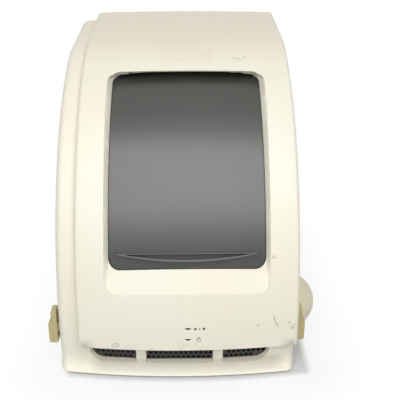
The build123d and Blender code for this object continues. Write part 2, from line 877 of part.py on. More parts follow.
well = flat_sided_well()
column_reach = (well_columns - 1) * well_pitch / 2
row_reach = (well_rows - 1) * well_pitch / 2
well_places = [
    (cover_x - column_reach + i * well_pitch, block_mid_y - row_reach + j * well_pitch)
    for i in range(well_columns)
    for j in range(well_rows)
]
save("thermal_block", block - [Pos(x, y, block_top) * well for x, y in well_places])
collar = slab(
    cover_x - block_length / 2 - collar_width,
    cover_x + block_length / 2 + collar_width,
    block_mid_y - block_width / 2 - collar_width,
    block_mid_y + block_width / 2 + collar_width,
    deck_z,
    deck_z + collar_rise,
)
collar = chamfer(collar.edges().group_by(Axis.Z)[-1], collar_rise / 2)
save("block_collar", collar - block_opening)

# Thermoelectric elements and finned heat sink under the block
element_low = block_low - element_height
element = slab(-element_size / 2, element_size / 2, -element_size / 2, element_size / 2, element_low, block_low)
elements = [
    Pos(x, y, 0) * element
    for x in (cover_x - block_length / 3, cover_x, cover_x + block_length / 3)
    for y in (block_mid_y - block_width / 4, block_mid_y + block_width / 4)
]
save("thermoelectric_elements", *elements)
sink_top = element_low
sink_low = sink_top - sink_base - fin_height
comb = Pos(0, sink_top - sink_base / 2) * Rectangle(sink_length, sink_base)
for i in range(fin_count):
    x = (i / (fin_count - 1) - 0.5) * (sink_length - fin_thickness)
    comb += Pos(x, sink_top - (sink_base + fin_height) / 2) * Rectangle(fin_thickness, fin_height + sink_base)
sink_plane = Plane((cover_x, block_mid_y, 0), x_dir=(1, 0, 0), z_dir=(0, -1, 0))
sink = extrude(sink_plane * comb, sink_width / 2, both=True)
sink += [
    rod_z(sink_post_radius, sink_top, deck_z - sheet, cover_x + x, block_mid_y + y)
    for x in (-sink_length / 2 + sink_post_radius, sink_length / 2 - sink_post_radius)
    for y in (-sink_width / 2 + sink_post_radius, sink_width / 2 - sink_post_radius)
]
save("heat_sink", sink)


# Axial fans, built flat with the air going up
fan_bore = fan_size / 2 - fan_frame_wall


def fan_frame():
    frame = slab(-fan_size / 2, fan_size / 2, -fan_size / 2, fan_size / 2, 0, fan_depth)
    frame -= rod_z(fan_bore, -1, fan_depth + 1, 0, 0)
    half = fan_strut_width / 2
    for i in range(fan_struts):
        strut = slab(fan_hub_radius - over, fan_bore + over, -half, half, 0, fan_hub_seat)
        frame += Rot(0, 0, fan_strut_start + 360 * i / fan_struts) * strut
    frame += rod_z(fan_hub_radius, 0, fan_hub_seat, 0, 0)
    return frame - rod_z(fan_shaft_radius + running_gap, -over, fan_hub_seat + over, 0, 0)


def fan_rotor():
    low = fan_hub_seat + fitting_clearance
    high = fan_depth - fan_frame_wall
    rotor = rod_z(fan_hub_radius, low, high, 0, 0)
    rotor += rod_z(fan_shaft_radius, fitting_clearance, low + over, 0, 0)
    reach = fan_bore - fan_tip_gap
    half = fan_blade_thickness / 2
    blade = slab(fan_hub_radius - 2 * over, reach, -half, half, -fan_blade_chord / 2, fan_blade_chord / 2)
    blade = Pos(0, 0, (low + high) / 2) * Rot(fan_blade_pitch, 0, 0) * blade
    blades = Part()
    for i in range(fan_blades):
        blades += Rot(0, 0, 360 * i / fan_blades) * blade
    blades = blades & (rod_z(reach, low, high, 0, 0) - rod_z(fan_hub_radius - over, low, high, 0, 0))
    return rotor + blades


fan_top = sink_low - frame_gap
block_fan_at = Pos(cover_x, block_mid_y, fan_top - fan_depth)
save("block_fan_frame", block_fan_at * fan_frame())
save("block_fan_rotor", block_fan_at * fan_rotor())
stand_top = fan_top - fan_depth
stand = slab(
    cover_x - fan_size / 2,
    cover_x + fan_size / 2,
    block_mid_y - fan_size / 2,
    block_mid_y + fan_size / 2,
    stand_top - sheet,
    stand_top,
)
stand -= rod_z(fan_bore, stand_top - 5, stand_top + 1, cover_x, block_mid_y)
for side in (-1, 1):
    edge = cover_x + side * (fan_size / 2 + sheet / 2)
    stand += slab(
        edge - sheet / 2,
        edge + sheet / 2,
        block_mid_y - fan_size / 2,
        block_mid_y + fan_size / 2,
        pan_top,
        stand_top,
    )
save("fan_stand", stand)

# Heated lid, hinged behind the block
pivot_y = front_y + lid_pivot_y
pivot_z = deck_z + lid_pivot_rise
lid_low = block_top + plate_gap + plate_thickness
lid_top = lid_low + lid_plate_height
lid_y = front_y + lid_front_y
ear_radius = 2 * lid_pin_radius
lid_rear_y = pivot_y - ear_radius
lid = slab(cover_x - lid_width / 2, cover_x + lid_width / 2, lid_y, lid_rear_y, lid_low, lid_top)
lid = fillet(lid.edges().filter_by(Axis.Z).group_by(Axis.Y)[0], lid_wall)
opening_x = well_columns * well_pitch / 2 + plate_gap
opening_y = well_rows * well_pitch / 2 + plate_gap
lid -= slab(
    cover_x - opening_x,
    cover_x + opening_x,
    block_mid_y - opening_y,
    block_mid_y + opening_y,
    lid_low - over,
    lid_top + over,
)
for side in (-1, 1):
    ear_out = cover_x + side * lid_width / 2
    ear_in = ear_out - side * lid_ear
    x0, x1 = sorted((ear_in, ear_out))
    lid += rod_x(ear_radius, x0, x1, pivot_y, pivot_z)
    lid += slab(x0, x1, lid_rear_y - 2 * ear_radius, pivot_y, lid_low, lid_top)
    lid += slab(x0, x1, pivot_y - ear_radius, pivot_y, lid_low, pivot_z)
    lid -= rod_x(lid_pin_radius + running_gap, x0 - 1, x1 + 1, pivot_y, pivot_z)
save("heated_lid", lid)
heater = slab(
    cover_x - block_length / 2,
    cover_x + block_length / 2,
    block_mid_y - block_width / 2,
    block_mid_y + block_width / 2,
    lid_low - plate_thickness,
    lid_low,
)
read_hole = extrude(RegularPolygon(read_hole_radius, well_sides), 2 * plate_thickness, both=True)
read_holes = [Pos(x, y, lid_low) * read_hole for x, y in well_places]
save("lid_heater_plate", heater - read_holes)
handle_z = (lid_low + lid_top) / 2
bar_y = lid_y - lid_handle_reach
handle = rod_x(lid_handle_bar, cover_x - lid_width / 4, cover_x + lid_width / 4, bar_y, handle_z)
for side in (-1, 1):
    arm_x = cover_x + side * (lid_width / 4 - lid_handle_bar)
    handle += slab(
        arm_x - lid_handle_bar / 2,
        arm_x + lid_handle_bar / 2,
        bar_y,
        lid_y,
        handle_z - lid_handle_bar / 2,
        handle_z + lid_handle_bar / 2,
    )
save("lid_handle", handle)
lid_posts = []
for side in (-1, 1):
    near = cover_x + side * (lid_width / 2 + fitting_clearance)
    far = near + side * lid_wall
    x0, x1 = sorted((near, far))
    post = rod_x(ear_radius, x0, x1, pivot_y, pivot_z)
    post += slab(x0, x1, pivot_y - ear_radius, pivot_y + ear_radius, deck_z, pivot_z)
    x0, x1 = sorted((near - side * lid_ear, far))
    lid_posts.append(post + rod_x(lid_pin_radius, x0, x1, pivot_y, pivot_z))
save("lid_posts", *lid_posts)

# Scanner on the lid: two guide rods, a carriage, and a head that crosses it
rod_z_at = lid_top + scan_rod_rise
rod_xs = (cover_x - scan_rod_spread / 2, cover_x + scan_rod_spread / 2)
front_block_y = lid_y + frame_gap
rear_block_y = lid_rear_y - scan_end_block - frame_gap
screw_z = rod_z_at + screw_rise
block_top_z = screw_z + 2 * screw_radius
end_blocks = []
for y in (front_block_y, rear_block_y):
    for x in rod_xs:
        end_block = slab(x - bush_half, x + bush_half, y, y + scan_end_block, lid_top, block_top_z)
        end_block -= rod_y(scan_rod_radius, y - 1, y + scan_end_block + 1, x, rod_z_at)
        if x < cover_x:
            end_block -= rod_y(screw_radius + running_gap, y - 1, y + scan_end_block + 1, x, screw_z)
        end_blocks.append(end_block)
save("scan_end_blocks", *end_blocks)
rear_end_y = rear_block_y + scan_end_block
save("scan_guide_rods", *[rod_y(scan_rod_radius, front_block_y, rear_end_y, x, rod_z_at) for x in rod_xs])
carriage_y = block_mid_y - row_reach
bush_right = rod_xs[1] + bush_half
head_screw_start = rod_xs[0] + screw_radius + 2 * fitting_clearance
carriage = Part()
cross_z = rod_z_at + cross_rise
head_screw_z = rod_z_at + scan_rod_radius + screw_radius + 2 * fitting_clearance
for x in rod_xs:
    bush = slab(
        x - bush_half,
        x + bush_half,
        carriage_y - carriage_length / 2,
        carriage_y + carriage_length / 2,
        rod_z_at - carriage_height,
        block_top_z,
    )
    bush -= rod_y(scan_rod_radius + running_gap, carriage_y - beyond, carriage_y + beyond, x, rod_z_at)
    if x < cover_x:
        bush -= rod_y(screw_radius + running_gap, carriage_y - beyond, carriage_y + beyond, x, screw_z)
    bush -= rod_x(screw_radius + running_gap, head_screw_start, bush_right + 1, carriage_y, head_screw_z)
    carriage += bush
inner_left = rod_xs[0] + bush_half
inner_right = rod_xs[1] - bush_half
for y in (carriage_y - cross_spread / 2, carriage_y + cross_spread / 2):
    carriage += rod_x(cross_rod_radius, inner_left - 1, inner_right + 1, y, cross_z)
save("scan_carriage", carriage)
head_x = cover_x - column_reach
head = slab(
    head_x - head_size / 2,
    head_x + head_size / 2,
    carriage_y - head_size / 2,
    carriage_y + head_size / 2,
    cross_z - head_height / 2,
    cross_z + head_height / 2,
)
head = fillet(head.edges().filter_by(Axis.Z), 3)
head += rod_z(head_size / 4, lid_top + frame_gap + 1, cross_z, head_x, carriage_y)
for y in (carriage_y - cross_spread / 2, carriage_y + cross_spread / 2):
    head -= rod_x(cross_rod_radius + running_gap, head_x - beyond, head_x + beyond, y, cross_z)
head -= rod_x(screw_radius + running_gap, head_x - beyond, head_x + beyond, carriage_y, head_screw_z)
save("scan_head", head)


def motor(turn_to_axis):
    """A round stepper motor whose front face is at the origin, with its body behind it."""
    body = rod_z(motor_radius, -motor_length, 0, 0, 0)
    body = chamfer(body.edges(), motor_bevel)
    return turn_to_axis * (body - rod_z(motor_shaft_radius + running_gap, -motor_length / 2, 1, 0, 0))


def filter_wheel():
    """A wheel with filter holes and its shaft, lying flat with the shaft hanging down."""
    wheel = rod_z(wheel_radius, 0, wheel_thickness, 0, 0)
    for i in range(wheel_holes):
        turn = radians(360 * i / wheel_holes)
        x = wheel_hole_circle * cos(turn)
        y = wheel_hole_circle * sin(turn)
        wheel -= rod_z(wheel_hole_radius, -1, wheel_thickness + 1, x, y)
    return wheel + rod_z(motor_shaft_radius, -wheel_shaft_length, wheel_thickness + 2, 0, 0)


def small_motor(turn_to_axis):
    """The smaller motor of a scanner screw; its front face is at the origin."""
    body = slab(-scan_motor_half, scan_motor_half, -scan_motor_half, scan_motor_half, -scan_motor_length, 0)
    body = chamfer(body.edges().filter_by(Axis.Z), motor_bevel)
    return turn_to_axis * (body - rod_z(screw_radius + running_gap, -scan_motor_length / 2, 1, 0, 0))


to_right = Rot(0, 90, 0)
to_left = Rot(0, -90, 0)
to_back = Rot(-90, 0, 0)
to_front = Rot(90, 0, 0)

# Scanner drives
carriage_motor = Pos(rod_xs[0], rear_end_y, screw_z) * small_motor(to_front)
save("carriage_motor", carriage_motor)
screw_rear = rear_end_y + scan_motor_length / 2 - fitting_clearance
save("carriage_screw", rod_y(screw_radius, front_block_y, screw_rear, rod_xs[0], screw_z))
save("head_motor", Pos(bush_right, carriage_y, head_screw_z) * small_motor(to_left))
head_screw_end = bush_right + scan_motor_length / 2 - fitting_clearance
save("head_screw", rod_x(screw_radius, head_screw_start, head_screw_end, carriage_y, head_screw_z))

# Lamp under the round cap, and the excitation wheel in front of it
tube_start = cover_x + lamp_tube_start
tube_end = right_x + lamp_tube_reach
tube = rod_x(lamp_tube_radius, tube_start, tube_end, dome_mid_y, dome_z)
tube_bore_end = tube_end - lamp_tube_wall
tube -= rod_x(lamp_tube_radius - lamp_tube_wall, tube_start - over, tube_bore_end, dome_mid_y, dome_z)
socket_start = tube_end - 2 * lamp_tube_wall
tube -= rod_x(lamp_socket_radius, socket_start, tube_end + over, dome_mid_y, dome_z)
save("lamp_tube", tube)
lamp = rod_x(lamp_socket_radius, socket_start, tube_end + lamp_socket_length, dome_mid_y, dome_z)
lamp += rod_x(lamp_radius, tube_end - lamp_length, tube_end, dome_mid_y, dome_z)
save("lamp", lamp)
lamp_plate_x = tube_start + lamp_plate_inset
lamp_plate = slab(
    lamp_plate_x,
    lamp_plate_x + sheet,
    dome_mid_y - lamp_plate_half,
    dome_mid_y + lamp_plate_half,
    pan_top,
    dome_z + lamp_plate_half,
)
lamp_plate += slab(
    lamp_plate_x - lamp_plate_inset,
    lamp_plate_x + 1,
    dome_mid_y - lamp_plate_half,
    dome_mid_y + lamp_plate_half,
    pan_top,
    pan_top + sheet,
)
lamp_plate -= rod_x(lamp_tube_radius, lamp_plate_x - 1, lamp_plate_x + sheet + 1, dome_mid_y, dome_z)
save("lamp_bracket", lamp_plate)

wheel_x = tube_start - wheel_lamp_gap - wheel_thickness
wheel_z = dome_z + wheel_hole_circle
save("excitation_wheel", Pos(wheel_x, dome_mid_y, wheel_z) * to_right * filter_wheel())
plate_x = wheel_x - wheel_plate_gap - sheet
wheel_plate = slab(
    plate_x,
    plate_x + sheet,
    dome_mid_y - lamp_plate_half,
    dome_mid_y + lamp_plate_half,
    pan_top,
    wheel_z + motor_radius + sheet,
)
wheel_plate += slab(
    plate_x - lamp_plate_inset,
    plate_x + 1,
    dome_mid_y - lamp_plate_half,
    dome_mid_y + lamp_plate_half,
    pan_top,
    pan_top + sheet,
)
wheel_plate -= rod_x(motor_shaft_radius + running_gap, plate_x - 1, plate_x + sheet + 1, dome_mid_y, wheel_z)
wheel_plate -= rod_x(wheel_hole_radius, plate_x - 1, plate_x + sheet + 1, dome_mid_y, dome_z)
save("excitation_bracket", wheel_plate)
save("excitation_motor", Pos(plate_x, dome_mid_y, wheel_z) * motor(to_right))

# Detector and emission wheel on a shelf behind the sample bay
shelf_z = deck_z + shelf_rise
shelf_rear_y = bay_rear_y + shelf_depth
shelf = slab(bay_left, bay_right, bay_rear_y, shelf_rear_y, shelf_z - sheet, shelf_z)
shelf += slab(bay_left, bay_right, bay_rear_y, bay_rear_y + sheet, shelf_z - pan_flange, shelf_z)
for x in (bay_left, bay_right - sheet):
    shelf += extrude(
        Plane((x, 0, 0), x_dir=(0, 1, 0), z_dir=(1, 0, 0))
        * polygon(
            (bay_rear_y, shelf_z),
            (bay_rear_y, shelf_z - shelf_gusset),
            (bay_rear_y + sheet, shelf_z - shelf_gusset),
            (shelf_rear_y, shelf_z - pan_flange),
            (shelf_rear_y, shelf_z),
        ),
        sheet,
    )
save("optics_shelf", shelf)
detector_x = cover_x + detector_offset
emission_x = detector_x - wheel_hole_circle
emission_z = shelf_z + wheel_radius + wheel_floor_gap
emission_plate_y = bay_rear_y + motor_length + wheel_floor_gap
save("emission_motor", Pos(emission_x, emission_plate_y, emission_z) * motor(to_back))
emission_plate = slab(
    emission_x - lamp_plate_half,
    emission_x + lamp_plate_half + wheel_hole_circle,
    emission_plate_y,
    emission_plate_y + sheet,
    shelf_z,
    emission_z + lamp_plate_half,
)
emission_plate += slab(
    emission_x - lamp_plate_half,
    emission_x + lamp_plate_half + wheel_hole_circle,
    emission_plate_y - lamp_plate_inset,
    emission_plate_y + 1,
    shelf_z,
    shelf_z + sheet,
)
plate_near = emission_plate_y - 1
plate_far = emission_plate_y + sheet + 1
emission_plate -= rod_y(motor_shaft_radius + running_gap, plate_near, plate_far, emission_x, emission_z)
emission_plate -= rod_y(wheel_hole_radius, plate_near, plate_far, detector_x, emission_z)
emission_wheel_y = emission_plate_y + sheet + wheel_plate_gap
save("emission_wheel", Pos(emission_x, emission_wheel_y, emission_z) * to_back * filter_wheel())
detector_y = emission_wheel_y + wheel_thickness + wheel_lamp_gap
detector = rod_y(detector_radius, detector_y, detector_y + detector_length, detector_x, emission_z)
detector = chamfer(detector.edges(), motor_bevel)
detector_bore_end = detector_y + 2 * wheel_hole_radius
detector -= rod_y(wheel_hole_radius, detector_y - over, detector_bore_end, detector_x, emission_z)
save("detector", detector)
saddle_width = 2 * detector_radius + 2 * lamp_tube_wall
saddle = slab(
    detector_x - saddle_width / 2,
    detector_x + saddle_width / 2,
    detector_y + saddle_inset,
    detector_y + detector_length - saddle_inset,
    shelf_z,
    emission_z,
)
saddle -= rod_y(detector_radius, detector_y, detector_y + detector_length, detector_x, emission_z)
save("detector_mount", emission_plate, saddle)

# Power supply on the pan
supply_x = cover_x + supply_offset
supply_rear_y = panel_y - supply_gap
supply_front_y = supply_rear_y - supply_depth
supply_top = pan_top + supply_height
supply = slab(supply_x, supply_x + supply_width, supply_front_y, supply_rear_y, pan_top, supply_top)
supply = chamfer(supply.edges().filter_by(Axis.Y).group_by(Axis.Z)[-1], motor_bevel)
for i in range(supply_slots):
    x = supply_x + supply_width * (i + 1) / (supply_slots + 1)
    supply -= slab(
        x - supply_slot_width / 2,
        x + supply_slot_width / 2,
        supply_front_y + supply_slot_inset,
        supply_rear_y - supply_slot_inset,
        supply_top - supply_slot_width,
        supply_top + over,
    )
save("power_supply", supply)

# Main board on standoffs outside the left plate
board_x = bay_left - sheet - board_offset - board_thickness
board = slab(
    board_x,
    board_x + board_thickness,
    front_y + board_front,
    bay_rear_y - board_margin,
    board_low_z,
    board_high_z,
)
board_radius = front_radius - bay_inset - board_margin
board = board & rod_x(board_radius, board_x, board_x + board_thickness, arc_y, front_centre_z)
save("main_board", board)
board_parts = []
for y, z, length, width, rise in board_layout:
    board_parts.append(slab(board_x - rise, board_x, front_y + y, front_y + y + length, z, z + width))
save("board_parts", *board_parts)
standoffs = [
    Pos(board_x + board_thickness + board_offset / 2, y, z)
    * Rot(0, 90, 0)
    * extrude(RegularPolygon(standoff_radius, 6), board_offset / 2, both=True)
    for y, z in (
        (front_y + board_front + board_margin, board_low_z + board_margin),
        (bay_rear_y - 3 * board_margin, board_low_z + board_margin),
        (bay_rear_y - 3 * board_margin, board_high_z - 3 * board_margin),
        (front_y + board_front + board_margin, board_high_z / 2),
    )
]
save("board_standoffs", *standoffs)

# Rear panel with the exhaust fan, power inlet, switch and data port
panel_high_z = ledge_z - housing_wall - frame_gap
panel_face_y = panel_y + sheet
exhaust_z = panel_high_z - exhaust_drop - fan_size / 2
panel = slab(pan_left, pan_right, panel_y, panel_face_y, pan_top, panel_high_z)
panel = fillet(panel.edges().filter_by(Axis.Y).group_by(Axis.Z)[-1], housing_edge_radius)
flange_inset = sheet + frame_gap
panel += slab(
    pan_left + flange_inset, pan_right - flange_inset, panel_y - sheet, panel_y, pan_top, pan_z + pan_flange
)
panel -= rod_y(fan_bore, panel_y - 1, panel_face_y + 1, exhaust_x, exhaust_z)


def panel_tool(x, z, width, high, deep, out):
    """A block through the rear panel, from `deep` behind its outer face to `out` in front of it."""
    y0, y1 = panel_face_y - deep, panel_face_y + out
    return Pos(x, 0, z) * slab(-width / 2, width / 2, y0, y1, -high / 2, high / 2)


clear = 2 * fitting_clearance
panel -= panel_tool(inlet_x, inlet_z, inlet_width + clear, inlet_height + clear, 2 * sheet + 1, 1)
body_width = switch_width + 2 * switch_wall
body_height = switch_height + 2 * switch_wall
panel -= panel_tool(switch_x, inlet_z, body_width + clear, body_height + clear, 2 * sheet + 1, 1)
panel -= panel_tool(port_x, inlet_z, port_width + clear, port_height + clear, 2 * sheet + 1, 1)
save("rear_panel", panel)

exhaust_at = Pos(exhaust_x, panel_y - fan_depth, exhaust_z) * to_back
save("exhaust_fan_frame", exhaust_at * fan_frame())
save("exhaust_fan_rotor", exhaust_at * fan_rotor())
guard = Part()
guard_reach = fan_bore + guard_lap
guard_inner = fan_hub_radius / 2
half = guard_wire / 2
for i in range(guard_rings):
    radius = guard_inner + (guard_reach - guard_inner) * i / (guard_rings - 1)
    guard += rod_y(radius + half, 0, guard_wire, 0, 0) - rod_y(radius - half, -over, guard_wire + over, 0, 0)
for turn in (45, 135):
    guard += Rot(0, turn, 0) * slab(-guard_reach, guard_reach, 0, guard_wire, -half, half)
save("fan_guard", Pos(exhaust_x, panel_face_y, exhaust_z) * guard)

socket = panel_tool(inlet_x, inlet_z, inlet_width, inlet_height, inlet_depth, inlet_flange)
socket += panel_tool(
    inlet_x, inlet_z, inlet_width + 4 * inlet_flange, inlet_height + 4 * inlet_flange, 0, inlet_flange
)
opening = panel_tool(
    inlet_x,
    inlet_z,
    inlet_width - 4 * inlet_flange,
    inlet_height - 4 * inlet_flange,
    inlet_depth - inlet_flange,
    2 * inlet_flange,
)
opening = chamfer(opening.edges().filter_by(Axis.Y).group_by(Axis.Z)[-1], inlet_bevel)
socket -= opening
for across, up in ((0, 1), (-1, -1), (1, -1)):
    x, z = across * socket_pin_pitch, up * socket_pin_width
    pin = panel_tool(x, z, socket_pin_width, 2 * socket_pin_width, inlet_depth, -socket_pin_inset)
    socket += Pos(inlet_x, 0, inlet_z) * pin
save("power_inlet", socket)

bezel = panel_tool(switch_x, inlet_z, body_width, body_height, switch_depth, inlet_flange)
bezel += panel_tool(switch_x, inlet_z, body_width + 2, body_height + 2, 0, inlet_flange)
bezel -= panel_tool(switch_x, inlet_z, switch_width, switch_height, switch_depth - switch_wall, 2)
pin_reach = switch_width / 2 + switch_wall / 2
rocker_y = panel_face_y - switch_pivot_depth
bezel -= rod_x(rocker_pin_radius + running_gap, switch_x - pin_reach, switch_x + pin_reach, rocker_y, inlet_z)
save("switch_bezel", bezel)
rocker_half = switch_height / 2 - rocker_gap
rocker_face = polygon(
    (-rocker_depth, -rocker_half / 2),
    (rocker_rise, -rocker_half),
    (rocker_rise / 3, 0),
    (rocker_rise, rocker_half),
    (-rocker_depth, rocker_half / 2),
)
rocker_width = switch_width / 2 - fitting_clearance
rocker = extrude(Plane.YZ * rocker_face, rocker_width, both=True)
rocker += rod_x(rocker_pin_radius, -pin_reach + fitting_clearance, pin_reach - fitting_clearance, 0, 0)
save("power_rocker", Pos(switch_x, rocker_y, inlet_z) * Rot(switch_tilt, 0, 0) * rocker)

port = panel_tool(port_x, inlet_z, port_width, port_height, port_depth, inlet_flange / 2)
port -= panel_tool(port_x, inlet_z, port_width - 2, port_height - 2, port_depth - inlet_flange, 2)
port += panel_tool(port_x, inlet_z, port_width / 2, port_height / 3, port_depth, -socket_pin_inset)
save("data_port", port)
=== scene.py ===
"""A bench-top real-time thermal cycler with a curved front, a sliding door and its works inside."""

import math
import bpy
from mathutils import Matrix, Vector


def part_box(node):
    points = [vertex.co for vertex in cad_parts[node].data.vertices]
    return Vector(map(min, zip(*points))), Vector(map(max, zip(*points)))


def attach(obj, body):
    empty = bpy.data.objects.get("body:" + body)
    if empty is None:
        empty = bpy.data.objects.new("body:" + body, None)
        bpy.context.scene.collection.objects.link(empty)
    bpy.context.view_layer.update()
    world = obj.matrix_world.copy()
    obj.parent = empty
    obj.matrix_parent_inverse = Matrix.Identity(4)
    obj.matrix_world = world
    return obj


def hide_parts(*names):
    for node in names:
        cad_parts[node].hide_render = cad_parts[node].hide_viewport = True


bl_info = {
    "name": "Bench-top thermal cycler",
    "version": (1, 0, 0),
    "blender": (4, 5, 0),
    "location": "3D View > Sidebar > Cycler",
    "description": "Finishes the packed model of a real-time thermal cycler",
    "category": "Object",
}

import bpy
from mathutils import Matrix, Vector

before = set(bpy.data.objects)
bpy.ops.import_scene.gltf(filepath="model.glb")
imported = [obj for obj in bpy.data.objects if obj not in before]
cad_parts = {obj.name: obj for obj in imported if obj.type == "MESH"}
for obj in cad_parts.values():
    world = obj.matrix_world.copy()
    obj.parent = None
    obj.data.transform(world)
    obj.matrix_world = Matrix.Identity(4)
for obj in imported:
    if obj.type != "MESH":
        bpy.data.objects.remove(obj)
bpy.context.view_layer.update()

# The cover's surface: an arc from foot to roof that is bowed a little from side to side
COVER_LOW, COVER_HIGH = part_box("front_cover")
COVER_X = (COVER_LOW.x + COVER_HIGH.x) / 2
FRONT_Y = COVER_LOW.y
FRONT_RADIUS = 0.371
FRONT_CENTRE_Z = 0.054
BOW_RADIUS = 1.0

# The door's own arc, and the rise of its pull's lower lip from the middle outwards
DOOR_RADIUS = 0.3584
LIP_HEIGHT = 0.171
LIP_RISE = 1.356

# The door's painted highlight and painted shade at the pull: how proud of the door, how far under the
# lip, how far from its middle
PULL_RIM_HIGHLIGHT = (0.0036, 0.0050)
PULL_SHADE_AND_GRIME = (0.0014, 0.0032, 0.0004)
LIP_SHADE = (-0.0085, -0.0030, 0.0015)
LIP_SHADE_SIDE = (0.055, 0.085)

# Smoothing: faces that meet at less than this are one curved surface
PLAIN_ANGLE = math.radians(35)
SHELL_ANGLE = math.radians(28)
SCREW_ANGLE = math.radians(30)

# The camera, fitted to the photograph's outline
FOCAL_PIXELS = 704.75
FRAME_PIXELS = 400
SENSOR = 36.0
CAMERA_TILT = 23.49
CAMERA_TURN = -1.162
CAMERA_PLACE = (COVER_X, -1.0259, 0.6166)

# The light level, the floor's shadow by its reach from the housing, and the rays that see a white room
ROOM_LIGHT = 0.24
WIDE_SHADOW = (0.0, 0.11)
WIDE_SHARE = 0.16
CONTACT_SHADOW = (-0.002, 0.016)
SEEN_RAYS = ("Is Camera Ray", "Is Glossy Ray", "Is Transmission Ray")
LAMP_AIM = (COVER_X, -0.15, 0.28)
FLOOR_DROP = 0.0004

# The lamps: name, elevation in degrees, distance, size, watts, whether gloss shows it
LAMPS = (
    ("front_softbox", 42.0, 2.4, (3.0, 1.5), 43.5, True),
    ("sheen_strip", 67.0, 2.1, (2.2, 0.26), 12.5, True),
    ("rear_fill", 160.0, 2.4, (2.4, 1.5), 7.0, False),
)

# Where the mouldings' tone changes: heights of the painted shade on the roof and of the foot, and the
# painted shade in the scoop of the air inlets by its depth behind the front, its distance from the middle
# and its height
ROOF_SHADE_HEIGHTS = (0.385, 0.42)
FOOT_HEIGHTS = (0.0, 0.05)
SCOOP_SHADE_DEPTH = (0.010, 0.024, 0.006)
SCOOP_SHADE_SIDE = (0.118, 0.142)
SCOOP_SHADE_HEIGHTS = (0.02, 0.026)

# Where the cover is worn: the front and its low edge, the patch of residue on the roof, and a scratch
FRONT_FADE = (-0.19, -0.18)
LOW_EDGE_HEIGHTS = (0.05, 0.064)
MARK_EDGE = 0.0008
RESIDUE_X, RESIDUE_Y = (-0.029, 0.042), (-0.009, 0.028)
RESIDUE_RIM, RESIDUE_FADE = 0.003, 0.004
SCRATCH_MIDDLE = (0.1228, 0.087)
SCRATCH_LEAN, SCRATCH_BEND = 0.42, 14
SCRATCH_HEIGHTS = (0.079, 0.0955, 0.001)
SCRATCH_WIDTH = (0.0002, 0.0008)

# Short dark strokes on the roof: place, half length and half width, depth of tone
ROOF_STROKES = (
    ((0.071, 0.079, 0.415), (0.0055, 0.0012), 0.7),
    ((0.077, 0.001, 0.396), (0.0040, 0.0010), 0.5),
    ((0.084, -0.003, 0.394), (0.0030, 0.0014), 0.6),
    ((0.092, 0.004, 0.397), (0.0022, 0.0016), 0.8),
)

# Chips and smudges on the front: place, radius, depth of tone, colour
FRONT_SPOTS = (
    ((0.146, -0.2193, 0.078), 0.0042, 0.55, (0.36, 0.37, 0.27)),
    ((0.1425, -0.2195, 0.083), 0.0022, 0.45, (0.36, 0.37, 0.27)),
    ((-0.092, -0.2255, 0.0560), 0.0030, 0.50, (0.30, 0.28, 0.24)),
    ((-0.0965, -0.225, 0.0535), 0.0024, 0.40, (0.34, 0.32, 0.27)),
    ((-0.0806, -0.2152, 0.1442), 0.0014, 0.50, (0.40, 0.36, 0.28)),
    ((0.1192, -0.2027, 0.1757), 0.0012, 0.60, (0.30, 0.27, 0.22)),
    ((0.0989, -0.2243, 0.0839), 0.0009, 0.50, (0.30, 0.27, 0.22)),
)

# The printed symbols: distance from the cover's middle of each, and the heights of the two rows
SYMBOL_RUN, SYMBOL_DOT, SYMBOL_EJECT, SYMBOL_POWER = 0.0099, 0.0157, 0.0215, 0.0144
SYMBOL_ROWS = (0.0816, 0.0649)
INK_GAP = 0.00002

# The foam strip, near black so that it stands in for the shade behind the screens: the screen before it,
# the gap between them, its thickness and its margin
SCREEN_SHEET, FOAM_GAP, FOAM_THICK, FOAM_MARGIN = 0.001, 0.0012, 0.005, 0.001

# Where the screws stand: shares of the panel's height, then distances from each piece's middle or edges
PANEL_SCREW_SHARES = (0.03, 0.36, 0.70, 0.93)
GUARD_SCREW_SPREAD = 0.04125
COLLAR_SCREW_INSET, COLLAR_SCREW_DROP = 0.006, 0.0013
LID_SCREW_X, LID_SCREW_FRONT, LID_SCREW_REAR, LID_SCREW_TOP = 0.05, 0.005, 0.026, 0.008


# Shader maths
class Field:
    """A shader socket that can be used in plain expressions."""

    def __init__(self, finish, socket):
        self.finish = finish
        self.socket = socket

    def _math(self, operation, *values):
        inputs = dict(enumerate(values))
        return self.finish.node("ShaderNodeMath", {"operation": operation}, inputs)

    def __add__(self, other):
        return self._math("ADD", self, other)

    def __radd__(self, other):
        return self._math("ADD", other, self)

    def __sub__(self, other):
        return self._math("SUBTRACT", self, other)

    def __rsub__(self, other):
        return self._math("SUBTRACT", other, self)

    def __mul__(self, other):
        return self._math("MULTIPLY", self, other)

    def __rmul__(self, other):
        return self._math("MULTIPLY", other, self)

    def __truediv__(self, other):
        return self._math("DIVIDE", self, other)

    def root(self):
        return self._math("SQRT", self)

    def __abs__(self):
        return self._math("ABSOLUTE", self)

    def highest(self, other):
        return self._math("MAXIMUM", self, other)

    def rise(self, start, end):
        """0 below start and 1 above end, with a smooth rise between."""
        ends = {0: self, 1: start, 2: end, 3: 0.0, 4: 1.0}
        settings = {"interpolation_type": "SMOOTHSTEP"}
        return self.finish.node("ShaderNodeMapRange", settings, ends)

    def within(self, low, high, soft):
        """1 between low and high, fading over soft on each side."""
        return self.rise(low - soft, low) * (1 - self.rise(high, high + soft))


